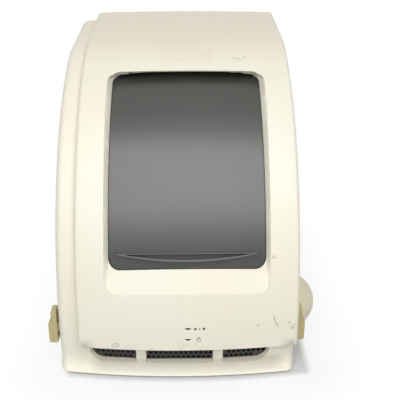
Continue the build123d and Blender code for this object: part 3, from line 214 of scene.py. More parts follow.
class Finish:
    """One material and the nodes that it is made of."""

    def __init__(self, name, colour, roughness=0.5, metallic=0.0, constants=None):
        self.material = bpy.data.materials.new(name)
        self.material.use_nodes = True
        self.tree = self.material.node_tree
        self.shader = self.tree.nodes["Principled BSDF"]
        self.colour = colour
        self.shader.inputs["Base Color"].default_value = (*colour, 1)
        self.shader.inputs["Roughness"].default_value = roughness
        self.shader.inputs["Metallic"].default_value = metallic
        for key, value in (constants or {}).items():
            self.shader.inputs[key].default_value = value
        self.place = self.node("ShaderNodeTexCoord", {}, {}, "Object")

    def node(self, kind, settings, inputs, output=0):
        """Add a node: its settings first, then its inputs as values or links."""
        made = self.tree.nodes.new(kind)
        for key, value in settings.items():
            setattr(made, key, value)
        for key, value in inputs.items():
            if isinstance(value, Field):
                self.tree.links.new(value.socket, made.inputs[key])
            else:
                made.inputs[key].default_value = value
        return Field(self, made.outputs[output])

    def axes(self):
        split = self.node("ShaderNodeSeparateXYZ", {}, {0: self.place})
        outputs = split.socket.node.outputs
        return [Field(self, outputs[i]) for i in range(3)]

    def stretched(self, x, y, z):
        """The place on the object, stretched for a grain that runs one way."""
        return self.node("ShaderNodeMapping", {}, {"Vector": self.place, "Scale": (x, y, z)})

    def noise(self, scale, detail=3.0, place=None):
        inputs = {"Vector": place or self.place, "Scale": scale, "Detail": detail}
        return self.node("ShaderNodeTexNoise", {}, inputs)

    def cells(self, scale):
        inputs = {"Vector": self.place, "Scale": scale}
        return self.node("ShaderNodeTexVoronoi", {"feature": "F1"}, inputs)

    def mix(self, amount, first, second):
        inputs = {0: amount, 6: first, 7: second}
        for key in (6, 7):
            if not isinstance(inputs[key], Field):
                inputs[key] = (*inputs[key], 1)
        return self.node("ShaderNodeMix", {"data_type": "RGBA"}, inputs, 2)

    def feed(self, socket, value):
        self.tree.links.new(value.socket, self.shader.inputs[socket])

    def bump(self, height, strength, distance):
        inputs = {"Height": height, "Strength": strength, "Distance": distance}
        self.feed("Normal", self.node("ShaderNodeBump", {}, inputs))


# Materials
def tinted(colour, *shares):
    """A colour times one share, or times a share for each of red, green and blue."""
    return tuple(c * k for c, k in zip(colour, shares if len(shares) == 3 else shares * 3))


def spot_mask(x, y, z, place, radius, soft):
    """1 inside a soft round spot about `place`."""
    away = ((x - place[0]) * (x - place[0]) + (y - place[1]) * (y - place[1]))
    away = away + (z - place[2]) * (z - place[2])
    return 1 - away.rise(radius * radius, (radius + soft) ** 2)


def ivory_plastic(name, colour, marks=False):
    """Painted moulding that has yellowed a little, with fine grain, faint handling marks and painted
    shade on the roof and in the inlet scoop.
    """
    finish = Finish(name, colour, 0.42)
    x, y, z = finish.axes()
    cloud = finish.noise(5.0, 4.0)
    fine = finish.noise(60.0, 3.0)
    shade = finish.mix(cloud.rise(0.35, 0.75) * 0.6, colour, tinted(colour, 0.97, 0.95, 0.90))
    # Painted shade: the roof is painted darker.
    roof = z.rise(*ROOF_SHADE_HEIGHTS) * 0.9
    shade = finish.mix(roof, shade, tinted(colour, 0.90, 0.87, 0.82))
    foot = (1 - z.rise(*FOOT_HEIGHTS)) * fine.rise(0.45, 0.7) * 0.07
    shade = finish.mix(foot, shade, (0.55, 0.50, 0.40))
    # Painted shade: the recessed scoop below the air inlets is painted darker.
    inward = y - FRONT_Y - (x - COVER_X) * (x - COVER_X) * (0.5 / BOW_RADIUS)
    scoop = inward.within(*SCOOP_SHADE_DEPTH) * (1 - abs(x - COVER_X).rise(*SCOOP_SHADE_SIDE))
    scoop = scoop * (1 - z.rise(*SCOOP_SHADE_HEIGHTS))
    shade = finish.mix(scoop * 0.45, shade, (0.42, 0.39, 0.32))
    if marks:
        shade = wear_marks(finish, shade, x, y, z, fine)
    finish.feed("Base Color", shade)
    finish.feed("Roughness", 0.38 + fine * 0.12)
    finish.bump(finish.noise(900.0, 2.0), 0.12, 0.0004)
    return finish.material


def wear_marks(finish, shade, x, y, z, fine):
    """The residue, scuffs and scratches that the cover has picked up."""
    soft = MARK_EDGE
    ragged = finish.noise(240.0, 3.0)
    residue = x.within(*RESIDUE_X, soft) * y.within(*RESIDUE_Y, soft) * z.rise(0.38, 0.385)
    inner_x = x.within(RESIDUE_X[0] + RESIDUE_RIM, RESIDUE_X[1] - RESIDUE_RIM, RESIDUE_FADE)
    inner_y = y.within(RESIDUE_Y[0] + RESIDUE_RIM, RESIDUE_Y[1] - RESIDUE_RIM, RESIDUE_FADE)
    rim = 1 - inner_x * inner_y * 0.45
    patchy = finish.noise(38.0, 2.0).rise(0.3, 0.7) * 0.6 + ragged * 0.4
    shade = finish.mix(residue * rim * patchy * 0.5, shade, (0.70, 0.62, 0.45))
    for place, size, depth in ROOF_STROKES:
        stroke = x.within(place[0] - size[0], place[0] + size[0], soft)
        stroke = stroke * y.within(place[1] - size[1], place[1] + size[1], soft)
        stroke = stroke * z.rise(0.36, 0.365) * ragged.rise(0.46, 0.6)
        shade = finish.mix(stroke * depth, shade, (0.16, 0.14, 0.11))
    front = 1 - y.rise(*FRONT_FADE)
    middle_x, middle_z = SCRATCH_MIDDLE
    bend = (z - middle_z) * (z - middle_z) * SCRATCH_BEND
    line = x - middle_x - (middle_z - z) * SCRATCH_LEAN - bend
    scratch = (1 - abs(line).rise(*SCRATCH_WIDTH)) * z.within(*SCRATCH_HEIGHTS) * front
    shade = finish.mix(scratch * 0.8, shade, (0.12, 0.10, 0.08))
    for place, radius, depth, tone in FRONT_SPOTS:
        spot = spot_mask(x, y, z, place, radius, 0.002) * ragged.rise(0.4, 0.6)
        shade = finish.mix(spot * depth, shade, tone)
    low_edge = (1 - z.rise(*LOW_EDGE_HEIGHTS)) * front * fine.rise(0.4, 0.7) * 0.12
    return finish.mix(low_edge, shade, (0.45, 0.40, 0.32))


def door_paint(name, colour):
    """Dark grey paint with a fine leather grain, a painted highlight on the pull's raised rim and painted
    shade in its hollow and under its lip.
    """
    finish = Finish(name, colour, 0.42, 0.0, {"Specular IOR Level": 0.9})
    grain = finish.cells(420.0)
    ripple = finish.noise(300.0, 4.0)
    cloud = finish.noise(14.0, 4.0)
    streak = finish.noise(420.0, 2.0, finish.stretched(1, 0.02, 0.02))
    x, y, z = finish.axes()
    across = x - COVER_X
    behind = y - FRONT_Y - FRONT_RADIUS
    above = z - FRONT_CENTRE_Z
    proud = (behind * behind + above * above).root() - DOOR_RADIUS
    # Painted highlight: the pull's raised rim is painted lighter.
    rim_highlight = proud.rise(*PULL_RIM_HIGHLIGHT)
    lip = z - LIP_HEIGHT - across * across * LIP_RISE
    # Painted shade: the pull's hollow and the door just under its lip are painted near black; the hollow
    # is also made rougher.
    under = lip.within(*LIP_SHADE) * (1 - abs(across).rise(*LIP_SHADE_SIDE))
    hollow_shade_and_grime = proud.within(*PULL_SHADE_AND_GRIME)
    shade = finish.mix(cloud.rise(0.3, 0.8) * 0.5 + ripple * 0.2, colour, tinted(colour, 1.18))
    shade = finish.mix(hollow_shade_and_grime.highest(under) * 0.85, shade, (0.006, 0.0065, 0.006))
    shade = finish.mix(rim_highlight * 0.8, shade, (0.105, 0.112, 0.100))
    finish.feed("Base Color", shade)
    worn = 0.24 + cloud * 0.08 + ripple * 0.06 + streak * 0.10
    finish.feed("Roughness", worn * (1 + hollow_shade_and_grime * 0.8))
    finish.bump(grain * 0.5 + ripple * 0.5 + streak * 0.5, 0.28, 0.0004)
    return finish.material


def soft_plastic(name, colour, roughness=0.55, grain=500.0):
    """Plain moulded plastic with an even spark-eroded grain."""
    finish = Finish(name, colour, roughness)
    fine = finish.noise(grain, 3.0)
    cloud = finish.noise(18.0, 3.0)
    darker = tinted(colour, 0.82)
    finish.feed("Base Color", finish.mix(cloud.rise(0.35, 0.75) * 0.5 + fine * 0.15, colour, darker))
    finish.feed("Roughness", roughness - 0.06 + fine * 0.14)
    finish.bump(fine, 0.2, 0.0004)
    return finish.material


def brushed_metal(name, colour, roughness=0.34, stretch=(1, 30, 30)):
    """Drawn or brushed metal, with its lines along one way."""
    finish = Finish(name, colour, roughness, 1.0)
    lines = finish.noise(60.0, 4.0, finish.stretched(*stretch))
    cloud = finish.noise(9.0, 3.0)
    darker = tinted(colour, 0.8)
    finish.feed("Base Color", finish.mix(lines.rise(0.35, 0.7) * 0.5, colour, darker))
    finish.feed("Roughness", roughness - 0.05 + lines * 0.12 + cloud * 0.08)
    finish.bump(lines, 0.12, 0.0003)
    return finish.material


def zinc_plate(name, colour):
    """Zinc-plated sheet with faint spangle."""
    finish = Finish(name, colour, 0.38, 1.0)
    spangle = finish.cells(90.0)
    cloud = finish.noise(30.0, 3.0)
    darker = tinted(colour, 0.78)
    finish.feed("Base Color", finish.mix(spangle * 0.5 + cloud * 0.2, colour, darker))
    finish.feed("Roughness", 0.3 + spangle * 0.2)
    return finish.material


def powder_coat(name, colour, roughness=0.5):
    """Sprayed coat on sheet metal, with a slight orange peel."""
    finish = Finish(name, colour, roughness)
    peel = finish.noise(380.0, 2.0)
    cloud = finish.noise(8.0, 3.0)
    darker = tinted(colour, 0.88)
    finish.feed("Base Color", finish.mix(cloud.rise(0.35, 0.75) * 0.6, colour, darker))
    finish.feed("Roughness", roughness - 0.05 + peel * 0.12)
    finish.bump(peel, 0.15, 0.0005)
    return finish.material


def circuit_board(name, colour):
    """Green lacquered board with tracks under the lacquer."""
    finish = Finish(name, colour, 0.35)
    blocks = finish.cells(55.0)
    tracks = finish.noise(160.0, 1.0, finish.stretched(1, 0.15, 1))
    across = finish.noise(160.0, 1.0, finish.stretched(1, 1, 0.15))
    copper = tracks.rise(0.56, 0.6).highest(across.rise(0.57, 0.61))
    lighter = tinted(colour, 2.0)
    shade = finish.mix(copper * 0.7, colour, lighter)
    finish.feed("Base Color", finish.mix(blocks.rise(0.0, 0.5) * 0.3, shade, colour))
    finish.bump(copper, 0.1, 0.0002)
    return finish.material


def clear_glass(name, colour):
    """Lamp glass with a faint haze."""
    finish = Finish(name, colour, 0.06, 0.0, {"Transmission Weight": 0.85, "IOR": 1.47})
    frost = finish.noise(120.0, 2.0)
    finish.feed("Roughness", 0.05 + frost.rise(0.5, 0.8) * 0.08)
    return finish.material


def dark_lens(name, colour):
    """A small smoked light window that is unlit."""
    finish = Finish(name, colour, 0.22, 0.0, {"Coat Weight": 0.4, "Coat Roughness": 0.1})
    fine = finish.noise(900.0, 2.0)
    finish.feed("Base Color", finish.mix(fine * 0.4, colour, tinted(colour, 1.6)))
    finish.feed("Roughness", 0.2 + fine * 0.1)
    return finish.material


def screen_black(name, colour):
    """Black screen with dust caught in some of its holes."""
    finish = Finish(name, colour, 0.5, 0.0, {"Specular IOR Level": 0.7})
    dust = finish.noise(45.0, 3.0)
    specks = finish.cells(160.0)
    settled = dust.rise(0.5, 0.72) * (1 - specks.rise(0.1, 0.5))
    finish.feed("Base Color", finish.mix(settled * 0.5, colour, (0.22, 0.20, 0.17)))
    finish.feed("Roughness", 0.4 + dust * 0.25)
    return finish.material


def shade_foam(name, colour):
    """Open-cell foam with a little dust on its face; near black, it stands in for the shade behind the
    inlet screens.
    """
    finish = Finish(name, colour, 0.95)
    pores = finish.cells(700.0)
    dust = finish.noise(60.0, 3.0)
    finish.feed("Base Color", finish.mix(dust.rise(0.55, 0.8) * 0.5, colour, (0.05, 0.048, 0.042)))
    finish.feed("Roughness", 0.85 + pores * 0.1)
    finish.bump(pores, 0.6, 0.0006)
    return finish.material


def print_ink(name, colour):
    """Black printing ink."""
    finish = Finish(name, colour, 0.6)
    fine = finish.noise(1200.0, 2.0)
    finish.feed("Base Color", finish.mix(fine * 0.3, colour, tinted(colour, 2)))
    return finish.material


# Modelling
def deselect():
    """Leave edit mode and select nothing."""
    if bpy.context.object and bpy.context.object.mode != "OBJECT":
        bpy.ops.object.mode_set(mode="OBJECT")
    bpy.ops.object.select_all(action="DESELECT")


def choose(piece):
    """Make one piece the only one selected, and the active one."""
    deselect()
    piece.select_set(True)
    bpy.context.view_layer.objects.active = piece


def settle(piece, name, material, body, replaced=()):
    """Name a finished piece, bake its place into its mesh and hand it to its body."""
    choose(piece)
    bpy.ops.object.transform_apply(location=True, rotation=True, scale=True)
    piece.name = piece.data.name = name
    piece.data.materials.clear()
    piece.data.materials.append(material)
    if replaced:
        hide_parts(*replaced)
    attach(piece, body)
    return piece


def smooth(piece, angle=PLAIN_ANGLE):
    """Smooth the rounded stretches and keep the flat faces flat."""
    choose(piece)
    bpy.ops.object.shade_smooth_by_angle(angle=angle)
    weighted = piece.modifiers.new("Flat faces", "WEIGHTED_NORMAL")
    weighted.keep_sharp = True
    weighted.weight = 90
    bpy.ops.object.modifier_apply(modifier=weighted.name)


def copy_of(node, flat=True):
    """A merged copy of a part's mesh, with its flat triangles joined into whole faces."""
    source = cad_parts[node]
    choose(source)
    bpy.ops.object.duplicate()
    piece = bpy.context.object
    piece.parent = None
    piece.matrix_world = Matrix.Identity(4)
    for key in list(piece.keys()):
        del piece[key]
    bpy.ops.object.mode_set(mode="EDIT")
    bpy.ops.mesh.select_all(action="SELECT")
    bpy.ops.mesh.remove_doubles(threshold=0.000002)
    if flat:
        bpy.ops.mesh.dissolve_limited(angle_limit=math.radians(0.4))
    bpy.ops.object.mode_set(mode="OBJECT")
    return piece


def softened(node, material, body, width=0.0, segments=2, name=None):
    """A copy of a part with its hard edges rounded off, in place of the plain one."""
    piece = copy_of(node)
    if width:
        bevel = piece.modifiers.new("Edges", "BEVEL")
        bevel.width = width
        bevel.segments = segments
        bevel.limit_method = "ANGLE"
        bevel.angle_limit = math.radians(40)
        bevel.use_clamp_overlap = True
        choose(piece)
        bpy.ops.object.modifier_apply(modifier=bevel.name)
    smooth(piece)
    return settle(piece, name or node + "_finish", material, body, (node,))


def dress(node, material):
    """Give a part that stays as it is its finish."""
    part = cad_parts[node]
    if not part.data.materials:
        part.data.materials.append(material)
    for place in part.material_slots:
        place.material = material


def front_point(x, z, out=0.0):
    """A point on the cover's curved front, `out` above it, and the way that it faces."""
    profile = FRONT_RADIUS - math.sqrt(FRONT_RADIUS ** 2 - (z - FRONT_CENTRE_Z) ** 2)
    bow = BOW_RADIUS - profile
    away = x - COVER_X
    y = FRONT_Y + BOW_RADIUS - math.sqrt(bow ** 2 - away ** 2)
    tilt = math.asin((z - FRONT_CENTRE_Z) / FRONT_RADIUS)
    turn = math.asin(away / bow)
    level = math.cos(tilt)
    facing = Vector((math.sin(turn) * level, -math.cos(turn) * level, math.sin(tilt)))
    return Vector((x, y, z)) + facing * out, facing


def lay_on_front(piece, x, z, out):
    """Turn a flat piece that faces +Z so that it lies on the curved front."""
    place, facing = front_point(x, z, out)
    across = Vector((0, 0, 1)).cross(facing).normalized()
    up = facing.cross(across)
    turn = Matrix((across, up, facing)).transposed().to_4x4()
    piece.matrix_world = Matrix.Translation(place) @ turn


# Sizes and colours
class CyclerColours(bpy.types.PropertyGroup):
    """The colours that a user would change."""

    shell: bpy.props.FloatVectorProperty(
        name="Shell", description="Ivory of the cover and the housing", subtype="COLOR",
        default=(0.88, 0.845, 0.715), min=0, max=1,
    )
    door: bpy.props.FloatVectorProperty(
        name="Door", description="Grey of the sliding door", subtype="COLOR",
        default=(0.021, 0.0235, 0.0175), min=0, max=1,
    )
    catch: bpy.props.FloatVectorProperty(
        name="Catch", description="Khaki of the side catches", subtype="COLOR",
        default=(0.56, 0.485, 0.24), min=0, max=1,
    )


class CyclerSizes(bpy.types.PropertyGroup):
    """The sizes that a user would change."""

    edge_round: bpy.props.FloatProperty(
        name="Edge rounding", description="Rounding of moulded edges", default=0.0008,
        unit="LENGTH", min=0, max=0.003,
    )
    sheet_round: bpy.props.FloatProperty(
        name="Sheet rounding", description="Rounding of cut sheet edges", default=0.0003,
        unit="LENGTH", min=0, max=0.001,
    )
    symbol_size: bpy.props.FloatProperty(
        name="Symbol size", description="Height of the printed symbols", default=0.0046,
        unit="LENGTH", min=0.001, max=0.01,
    )
    screw_radius: bpy.props.FloatProperty(
        name="Screw radius", description="Radius of the screw heads", default=0.0024,
        unit="LENGTH", min=0.0005, max=0.006,
    )
    screw_inset: bpy.props.FloatProperty(
        name="Screw inset", description="How far the panel's screws are from its edges", default=0.008,
        unit="LENGTH", min=0.003, max=0.03,
    )
    ink_thickness: bpy.props.FloatProperty(
        name="Ink thickness", description="How far the print stands on the cover", default=0.00008,
        unit="LENGTH", min=0, max=0.001,
    )


def colours():
    return bpy.context.scene.cycler_colours


def sizes():
    return bpy.context.scene.cycler_sizes


# The pieces
class CYCLER_OT_cover(bpy.types.Operator):
    """The hinged front cover with its light windows and rails"""

    bl_idname = "cycler.cover"
    bl_label = "Front cover"

    def execute(self, context):
        shell = ivory_plastic("cover ivory", tuple(colours().shell), marks=True)
        cover = copy_of("front_cover", flat=False)
        smooth(cover, SHELL_ANGLE)
        settle(cover, "cover_shell", shell, "cover", ("front_cover",))
        dress("indicator_lenses", dark_lens("unlit window", (0.02, 0.022, 0.02)))
        rails = soft_plastic("rail plastic", (0.30, 0.30, 0.29))
        softened("door_rails", rails, "cover")
        return {"FINISHED"}


class CYCLER_OT_symbols(bpy.types.Operator):
    """The printed symbols beside the light windows"""

    bl_idname = "cycler.symbols"
    bl_label = "Printed symbols"

    def execute(self, context):
        ink = print_ink("symbol ink", (0.012, 0.012, 0.012))
        size = sizes().symbol_size
        line = size * 0.12
        upper, lower = SYMBOL_ROWS
        self.arrow("symbol_run", ink, COVER_X + SYMBOL_RUN, upper, size)
        self.spot("symbol_dot", ink, COVER_X + SYMBOL_DOT, upper, size * 0.22)
        self.arrow("symbol_eject", ink, COVER_X + SYMBOL_EJECT, upper, size)
        power = COVER_X + SYMBOL_POWER
        self.ring("symbol_power_ring", ink, power, lower, size * 0.62, line)
        self.bar("symbol_power_bar", ink, power, lower + size * 0.5, line, size * 0.7)
        return {"FINISHED"}

    def place(self, name, ink, x, z):
        """Give a flat outline its thickness and lay it on the cover."""
        piece = bpy.context.object
        bpy.ops.object.mode_set(mode="EDIT")
        bpy.ops.mesh.select_all(action="SELECT")
        rise = {"value": (0, 0, sizes().ink_thickness)}
        bpy.ops.mesh.extrude_region_move(TRANSFORM_OT_translate=rise)
        bpy.ops.mesh.select_all(action="SELECT")
        bpy.ops.mesh.normals_make_consistent(inside=False)
        bpy.ops.object.mode_set(mode="OBJECT")
        lay_on_front(piece, x, z, INK_GAP)
        settle(piece, name, ink, "cover")

    def arrow(self, name, ink, x, z, size):
        deselect()
        bpy.ops.mesh.primitive_circle_add(vertices=3, radius=size * 0.6, fill_type="NGON")
        piece = bpy.context.object
        piece.data.transform(Matrix.Rotation(math.radians(-90), 4, "Z"))
        self.place(name, ink, x, z)

    def spot(self, name, ink, x, z, radius):
        deselect()
        bpy.ops.mesh.primitive_circle_add(vertices=20, radius=radius, fill_type="NGON")
        self.place(name, ink, x, z)

    def bar(self, name, ink, x, z, half_width, length):
        deselect()
        bpy.ops.mesh.primitive_plane_add(size=1)
        bpy.context.object.data.transform(Matrix.Diagonal((2 * half_width, length, 1, 1)))
        self.place(name, ink, x, z)

    def ring(self, name, ink, x, z, radius, width):
        deselect()
        bpy.ops.mesh.primitive_circle_add(vertices=36, radius=radius, fill_type="NGON")
        bpy.ops.object.mode_set(mode="EDIT")
        bpy.ops.mesh.select_all(action="SELECT")
        bpy.ops.mesh.inset(thickness=width)
        bpy.ops.mesh.delete(type="FACE")
        bpy.ops.object.mode_set(mode="OBJECT")
        self.place(name, ink, x, z)


class CYCLER_OT_door(bpy.types.Operator):
    """The sliding door with its pull"""

    bl_idname = "cycler.door"
    bl_label = "Sliding door"

    def execute(self, context):
        paint = door_paint("door grey", tuple(colours().door))
        softened("sliding_door", paint, "door", sizes().edge_round, 3, "door_panel")
        return {"FINISHED"}


class CYCLER_OT_housing(bpy.types.Operator):
    """The housing moulding, its air screens, floor and feet"""

    bl_idname = "cycler.housing"
    bl_label = "Housing"

    def execute(self, context):
        shell = ivory_plastic("housing ivory", tuple(colours().shell))
        housing = copy_of("housing", flat=False)
        smooth(housing, SHELL_ANGLE)
        settle(housing, "housing_shell", shell, "base", ("housing",))
        dress("inlet_screens", screen_black("screen black", (0.030, 0.029, 0.027)))
        zinc = zinc_plate("plated sheet", (0.62, 0.62, 0.60))
        softened("floor_pan", zinc, "base", sizes().sheet_round)
        dress("feet", soft_plastic("foot rubber", (0.03, 0.03, 0.03), 0.8))
        for node in ("hinge_brackets", "hinge_pins"):
            softened(node, zinc, "base", sizes().sheet_round)
        return {"FINISHED"}


class CYCLER_OT_shade_foam(bpy.types.Operator):
    """The strip of black foam behind the inlet screens, which stands in for the shade inside the inlets
    """

    bl_idname = "cycler.filter"
    bl_label = "Inlet shade foam"

    def execute(self, context):
        low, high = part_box("inlet_screens")
        middle = (low.x + high.x) / 2
        half = (high.x - low.x) / 2
        sag = high.y - low.y - SCREEN_SHEET
        radius = (half * half + sag * sag) / (2 * sag)
        turn = math.asin((half - FOAM_MARGIN) / radius)
        centre = Vector((middle, low.y + radius, (low.z + high.z) / 2))
        deselect()
        bpy.ops.mesh.primitive_plane_add(size=1)
        piece = bpy.context.object
        upright = Matrix.Rotation(math.radians(90), 4, "Y")
        shape = Matrix.Diagonal((1, FOAM_THICK, high.z - low.z - 2 * FOAM_MARGIN, 1))
        behind = SCREEN_SHEET + FOAM_GAP + FOAM_THICK / 2
        out = Matrix.Translation((0, behind - radius, 0))
        swing = Matrix.Translation(centre) @ Matrix.Rotation(-turn, 4, "Z")
        piece.data.transform(swing @ out @ shape @ upright)
        bpy.ops.object.mode_set(mode="EDIT")
        bpy.ops.mesh.select_all(action="SELECT")
        bpy.ops.mesh.spin(steps=24, angle=-2 * turn, center=centre, axis=(0, 0, 1))
        bpy.ops.mesh.select_all(action="SELECT")
        bpy.ops.mesh.remove_doubles(threshold=0.00001)
        bpy.ops.mesh.normals_make_consistent(inside=False)
        bpy.ops.object.mode_set(mode="OBJECT")
        smooth(piece)
        # The near-black foam stands in for the shade behind the screens.
        foam = shade_foam("shade foam", (0.006, 0.006, 0.006))
        settle(piece, "inlet_shade_foam", foam, "base")
        return {"FINISHED"}


class CYCLER_OT_catches(bpy.types.Operator):
    """The khaki release catches on both side walls"""

    bl_idname = "cycler.catches"
    bl_label = "Side catches"

    def execute(self, context):
        khaki = soft_plastic("catch khaki", tuple(colours().catch), 0.5, 700.0)
        for side in ("left", "right"):
            softened(f"release_catch_{side}", khaki, f"catch_{side}", sizes().edge_round, 3)
        return {"FINISHED"}


class CYCLER_OT_lamp_cap(bpy.types.Operator):
    """The round two-part cap over the lamp"""

    bl_idname = "cycler.lamp_cap"
    bl_label = "Lamp cap"

    def execute(self, context):
        shell = ivory_plastic("cap ivory", tinted(colours().shell, 0.90, 0.87, 0.78))
        for node in ("lamp_cap_upper", "lamp_cap_lower"):
            softened(node, shell, "base", sizes().edge_round, 2)
        return {"FINISHED"}


class CYCLER_OT_bay(bpy.types.Operator):
    """The sample bay: its plates, deck, well block and collar"""

    bl_idname = "cycler.bay"
    bl_label = "Sample bay"

    def execute(self, context):
        coat = powder_coat("bay coat", (0.50, 0.51, 0.50))
        edge = sizes().sheet_round
        for node in ("bay_side_plates", "bay_plate_rear", "deck", "optics_shelf"):
            softened(node, coat, "base", edge)
        dress("thermal_block", brushed_metal("block aluminium", (0.86, 0.87, 0.88), 0.3))
        collar = soft_plastic("collar grey", (0.22, 0.22, 0.22))
        softened("block_collar", collar, "base", edge)
        return {"FINISHED"}


class CYCLER_OT_lid(bpy.types.Operator):
    """The heated lid with the scanner that it carries"""

    bl_idname = "cycler.lid"
    bl_label = "Heated lid and scanner"

    def execute(self, context):
        black = powder_coat("black anodised", (0.035, 0.035, 0.038), 0.42)
        grey = soft_plastic("fitting grey", (0.16, 0.16, 0.165))
        steel = brushed_metal("ground steel", (0.78, 0.78, 0.79), 0.2)
        motor = powder_coat("motor black", (0.05, 0.05, 0.055), 0.35)
        edge = sizes().sheet_round
        softened("heated_lid", black, "lid", edge)
        dress("lid_heater_plate", brushed_metal("heater aluminium", (0.8, 0.81, 0.82), 0.35))
        softened("lid_handle", grey, "lid", edge)
        softened("scan_end_blocks", grey, "lid", edge)
        dress("scan_guide_rods", steel)
        softened("carriage_motor", motor, "lid", edge)
        dress("carriage_screw", steel)
        softened("scan_carriage", black, "carriage", edge)
        softened("head_motor", motor, "carriage", edge)
        dress("head_screw", steel)
        softened("scan_head", black, "head", edge)
        posts = zinc_plate("post zinc", (0.62, 0.62, 0.60))
        softened("lid_posts", posts, "base", edge)
        return {"FINISHED"}


class CYCLER_OT_cooling(bpy.types.Operator):
    """The cooling under the block: elements, finned sink, fan and stand"""

    bl_idname = "cycler.cooling"
    bl_label = "Block cooling"

    def execute(self, context):
        edge = sizes().sheet_round
        dress("thermoelectric_elements", soft_plastic("element ceramic", (0.80, 0.80, 0.77), 0.6))
        fins = brushed_metal("sink aluminium", (0.74, 0.75, 0.76), 0.4, (30, 1, 30))
        softened("heat_sink", fins, "base", edge)
        black = soft_plastic("fan black", (0.03, 0.03, 0.032), 0.45)
        softened("block_fan_frame", black, "base", edge)
        softened("block_fan_rotor", black, "block_fan", edge)
        stand = zinc_plate("stand zinc", (0.62, 0.62, 0.60))
        softened("fan_stand", stand, "base", edge)
        return {"FINISHED"}


class CYCLER_OT_optics(bpy.types.Operator):
    """The lamp, filter wheels, motors and detector"""

    bl_idname = "cycler.optics"
    bl_label = "Optics"

    def execute(self, context):
        black = powder_coat("optics black", (0.03, 0.03, 0.033), 0.4)
        zinc = zinc_plate("bracket zinc", (0.62, 0.62, 0.60))
        edge = sizes().sheet_round
        softened("lamp_tube", black, "base", edge)
        dress("lamp", clear_glass("lamp glass", (0.9, 0.92, 0.95)))
        for node in ("lamp_bracket", "excitation_bracket", "detector_mount"):
            softened(node, zinc, "base", edge)
        for node in ("excitation_motor", "emission_motor", "detector"):
            softened(node, black, "base", edge)
        softened("excitation_wheel", black, "excitation_filters", edge)
        softened("emission_wheel", black, "emission_filters", edge)
        return {"FINISHED"}


class CYCLER_OT_electronics(bpy.types.Operator):
    """The power supply and the main board"""

    bl_idname = "cycler.electronics"
    bl_label = "Electronics"

    def execute(self, context):
        edge = sizes().sheet_round
        supply = zinc_plate("supply zinc", (0.60, 0.60, 0.58))
        softened("power_supply", supply, "base", edge)
        dress("main_board", circuit_board("board green", (0.02, 0.10, 0.04)))
        components = soft_plastic("component black", (0.025, 0.025, 0.027), 0.4)
        softened("board_parts", components, "base", edge)
        dress("board_standoffs", brushed_metal("standoff steel", (0.75, 0.74, 0.7), 0.3))
        return {"FINISHED"}


class CYCLER_OT_rear(bpy.types.Operator):
    """The rear panel with its fan, guard, power inlet, switch and data port"""

    bl_idname = "cycler.rear"
    bl_label = "Rear fittings"

    def execute(self, context):
        edge = sizes().sheet_round
        coat = powder_coat("panel coat", (0.62, 0.61, 0.57))
        softened("rear_panel", coat, "base", edge)
        black = soft_plastic("fitting black", (0.03, 0.03, 0.032), 0.42)
        softened("exhaust_fan_frame", black, "base", edge)
        softened("exhaust_fan_rotor", black, "exhaust_fan", edge)
        softened("power_inlet", black, "base", edge)
        softened("switch_bezel", black, "base", edge)
        softened("power_rocker", black, "rocker", edge)
        steel = brushed_metal("bright wire", (0.76, 0.76, 0.76), 0.25)
        softened("fan_guard", steel, "base", edge)
        softened("data_port", steel, "base", edge)
        return {"FINISHED"}


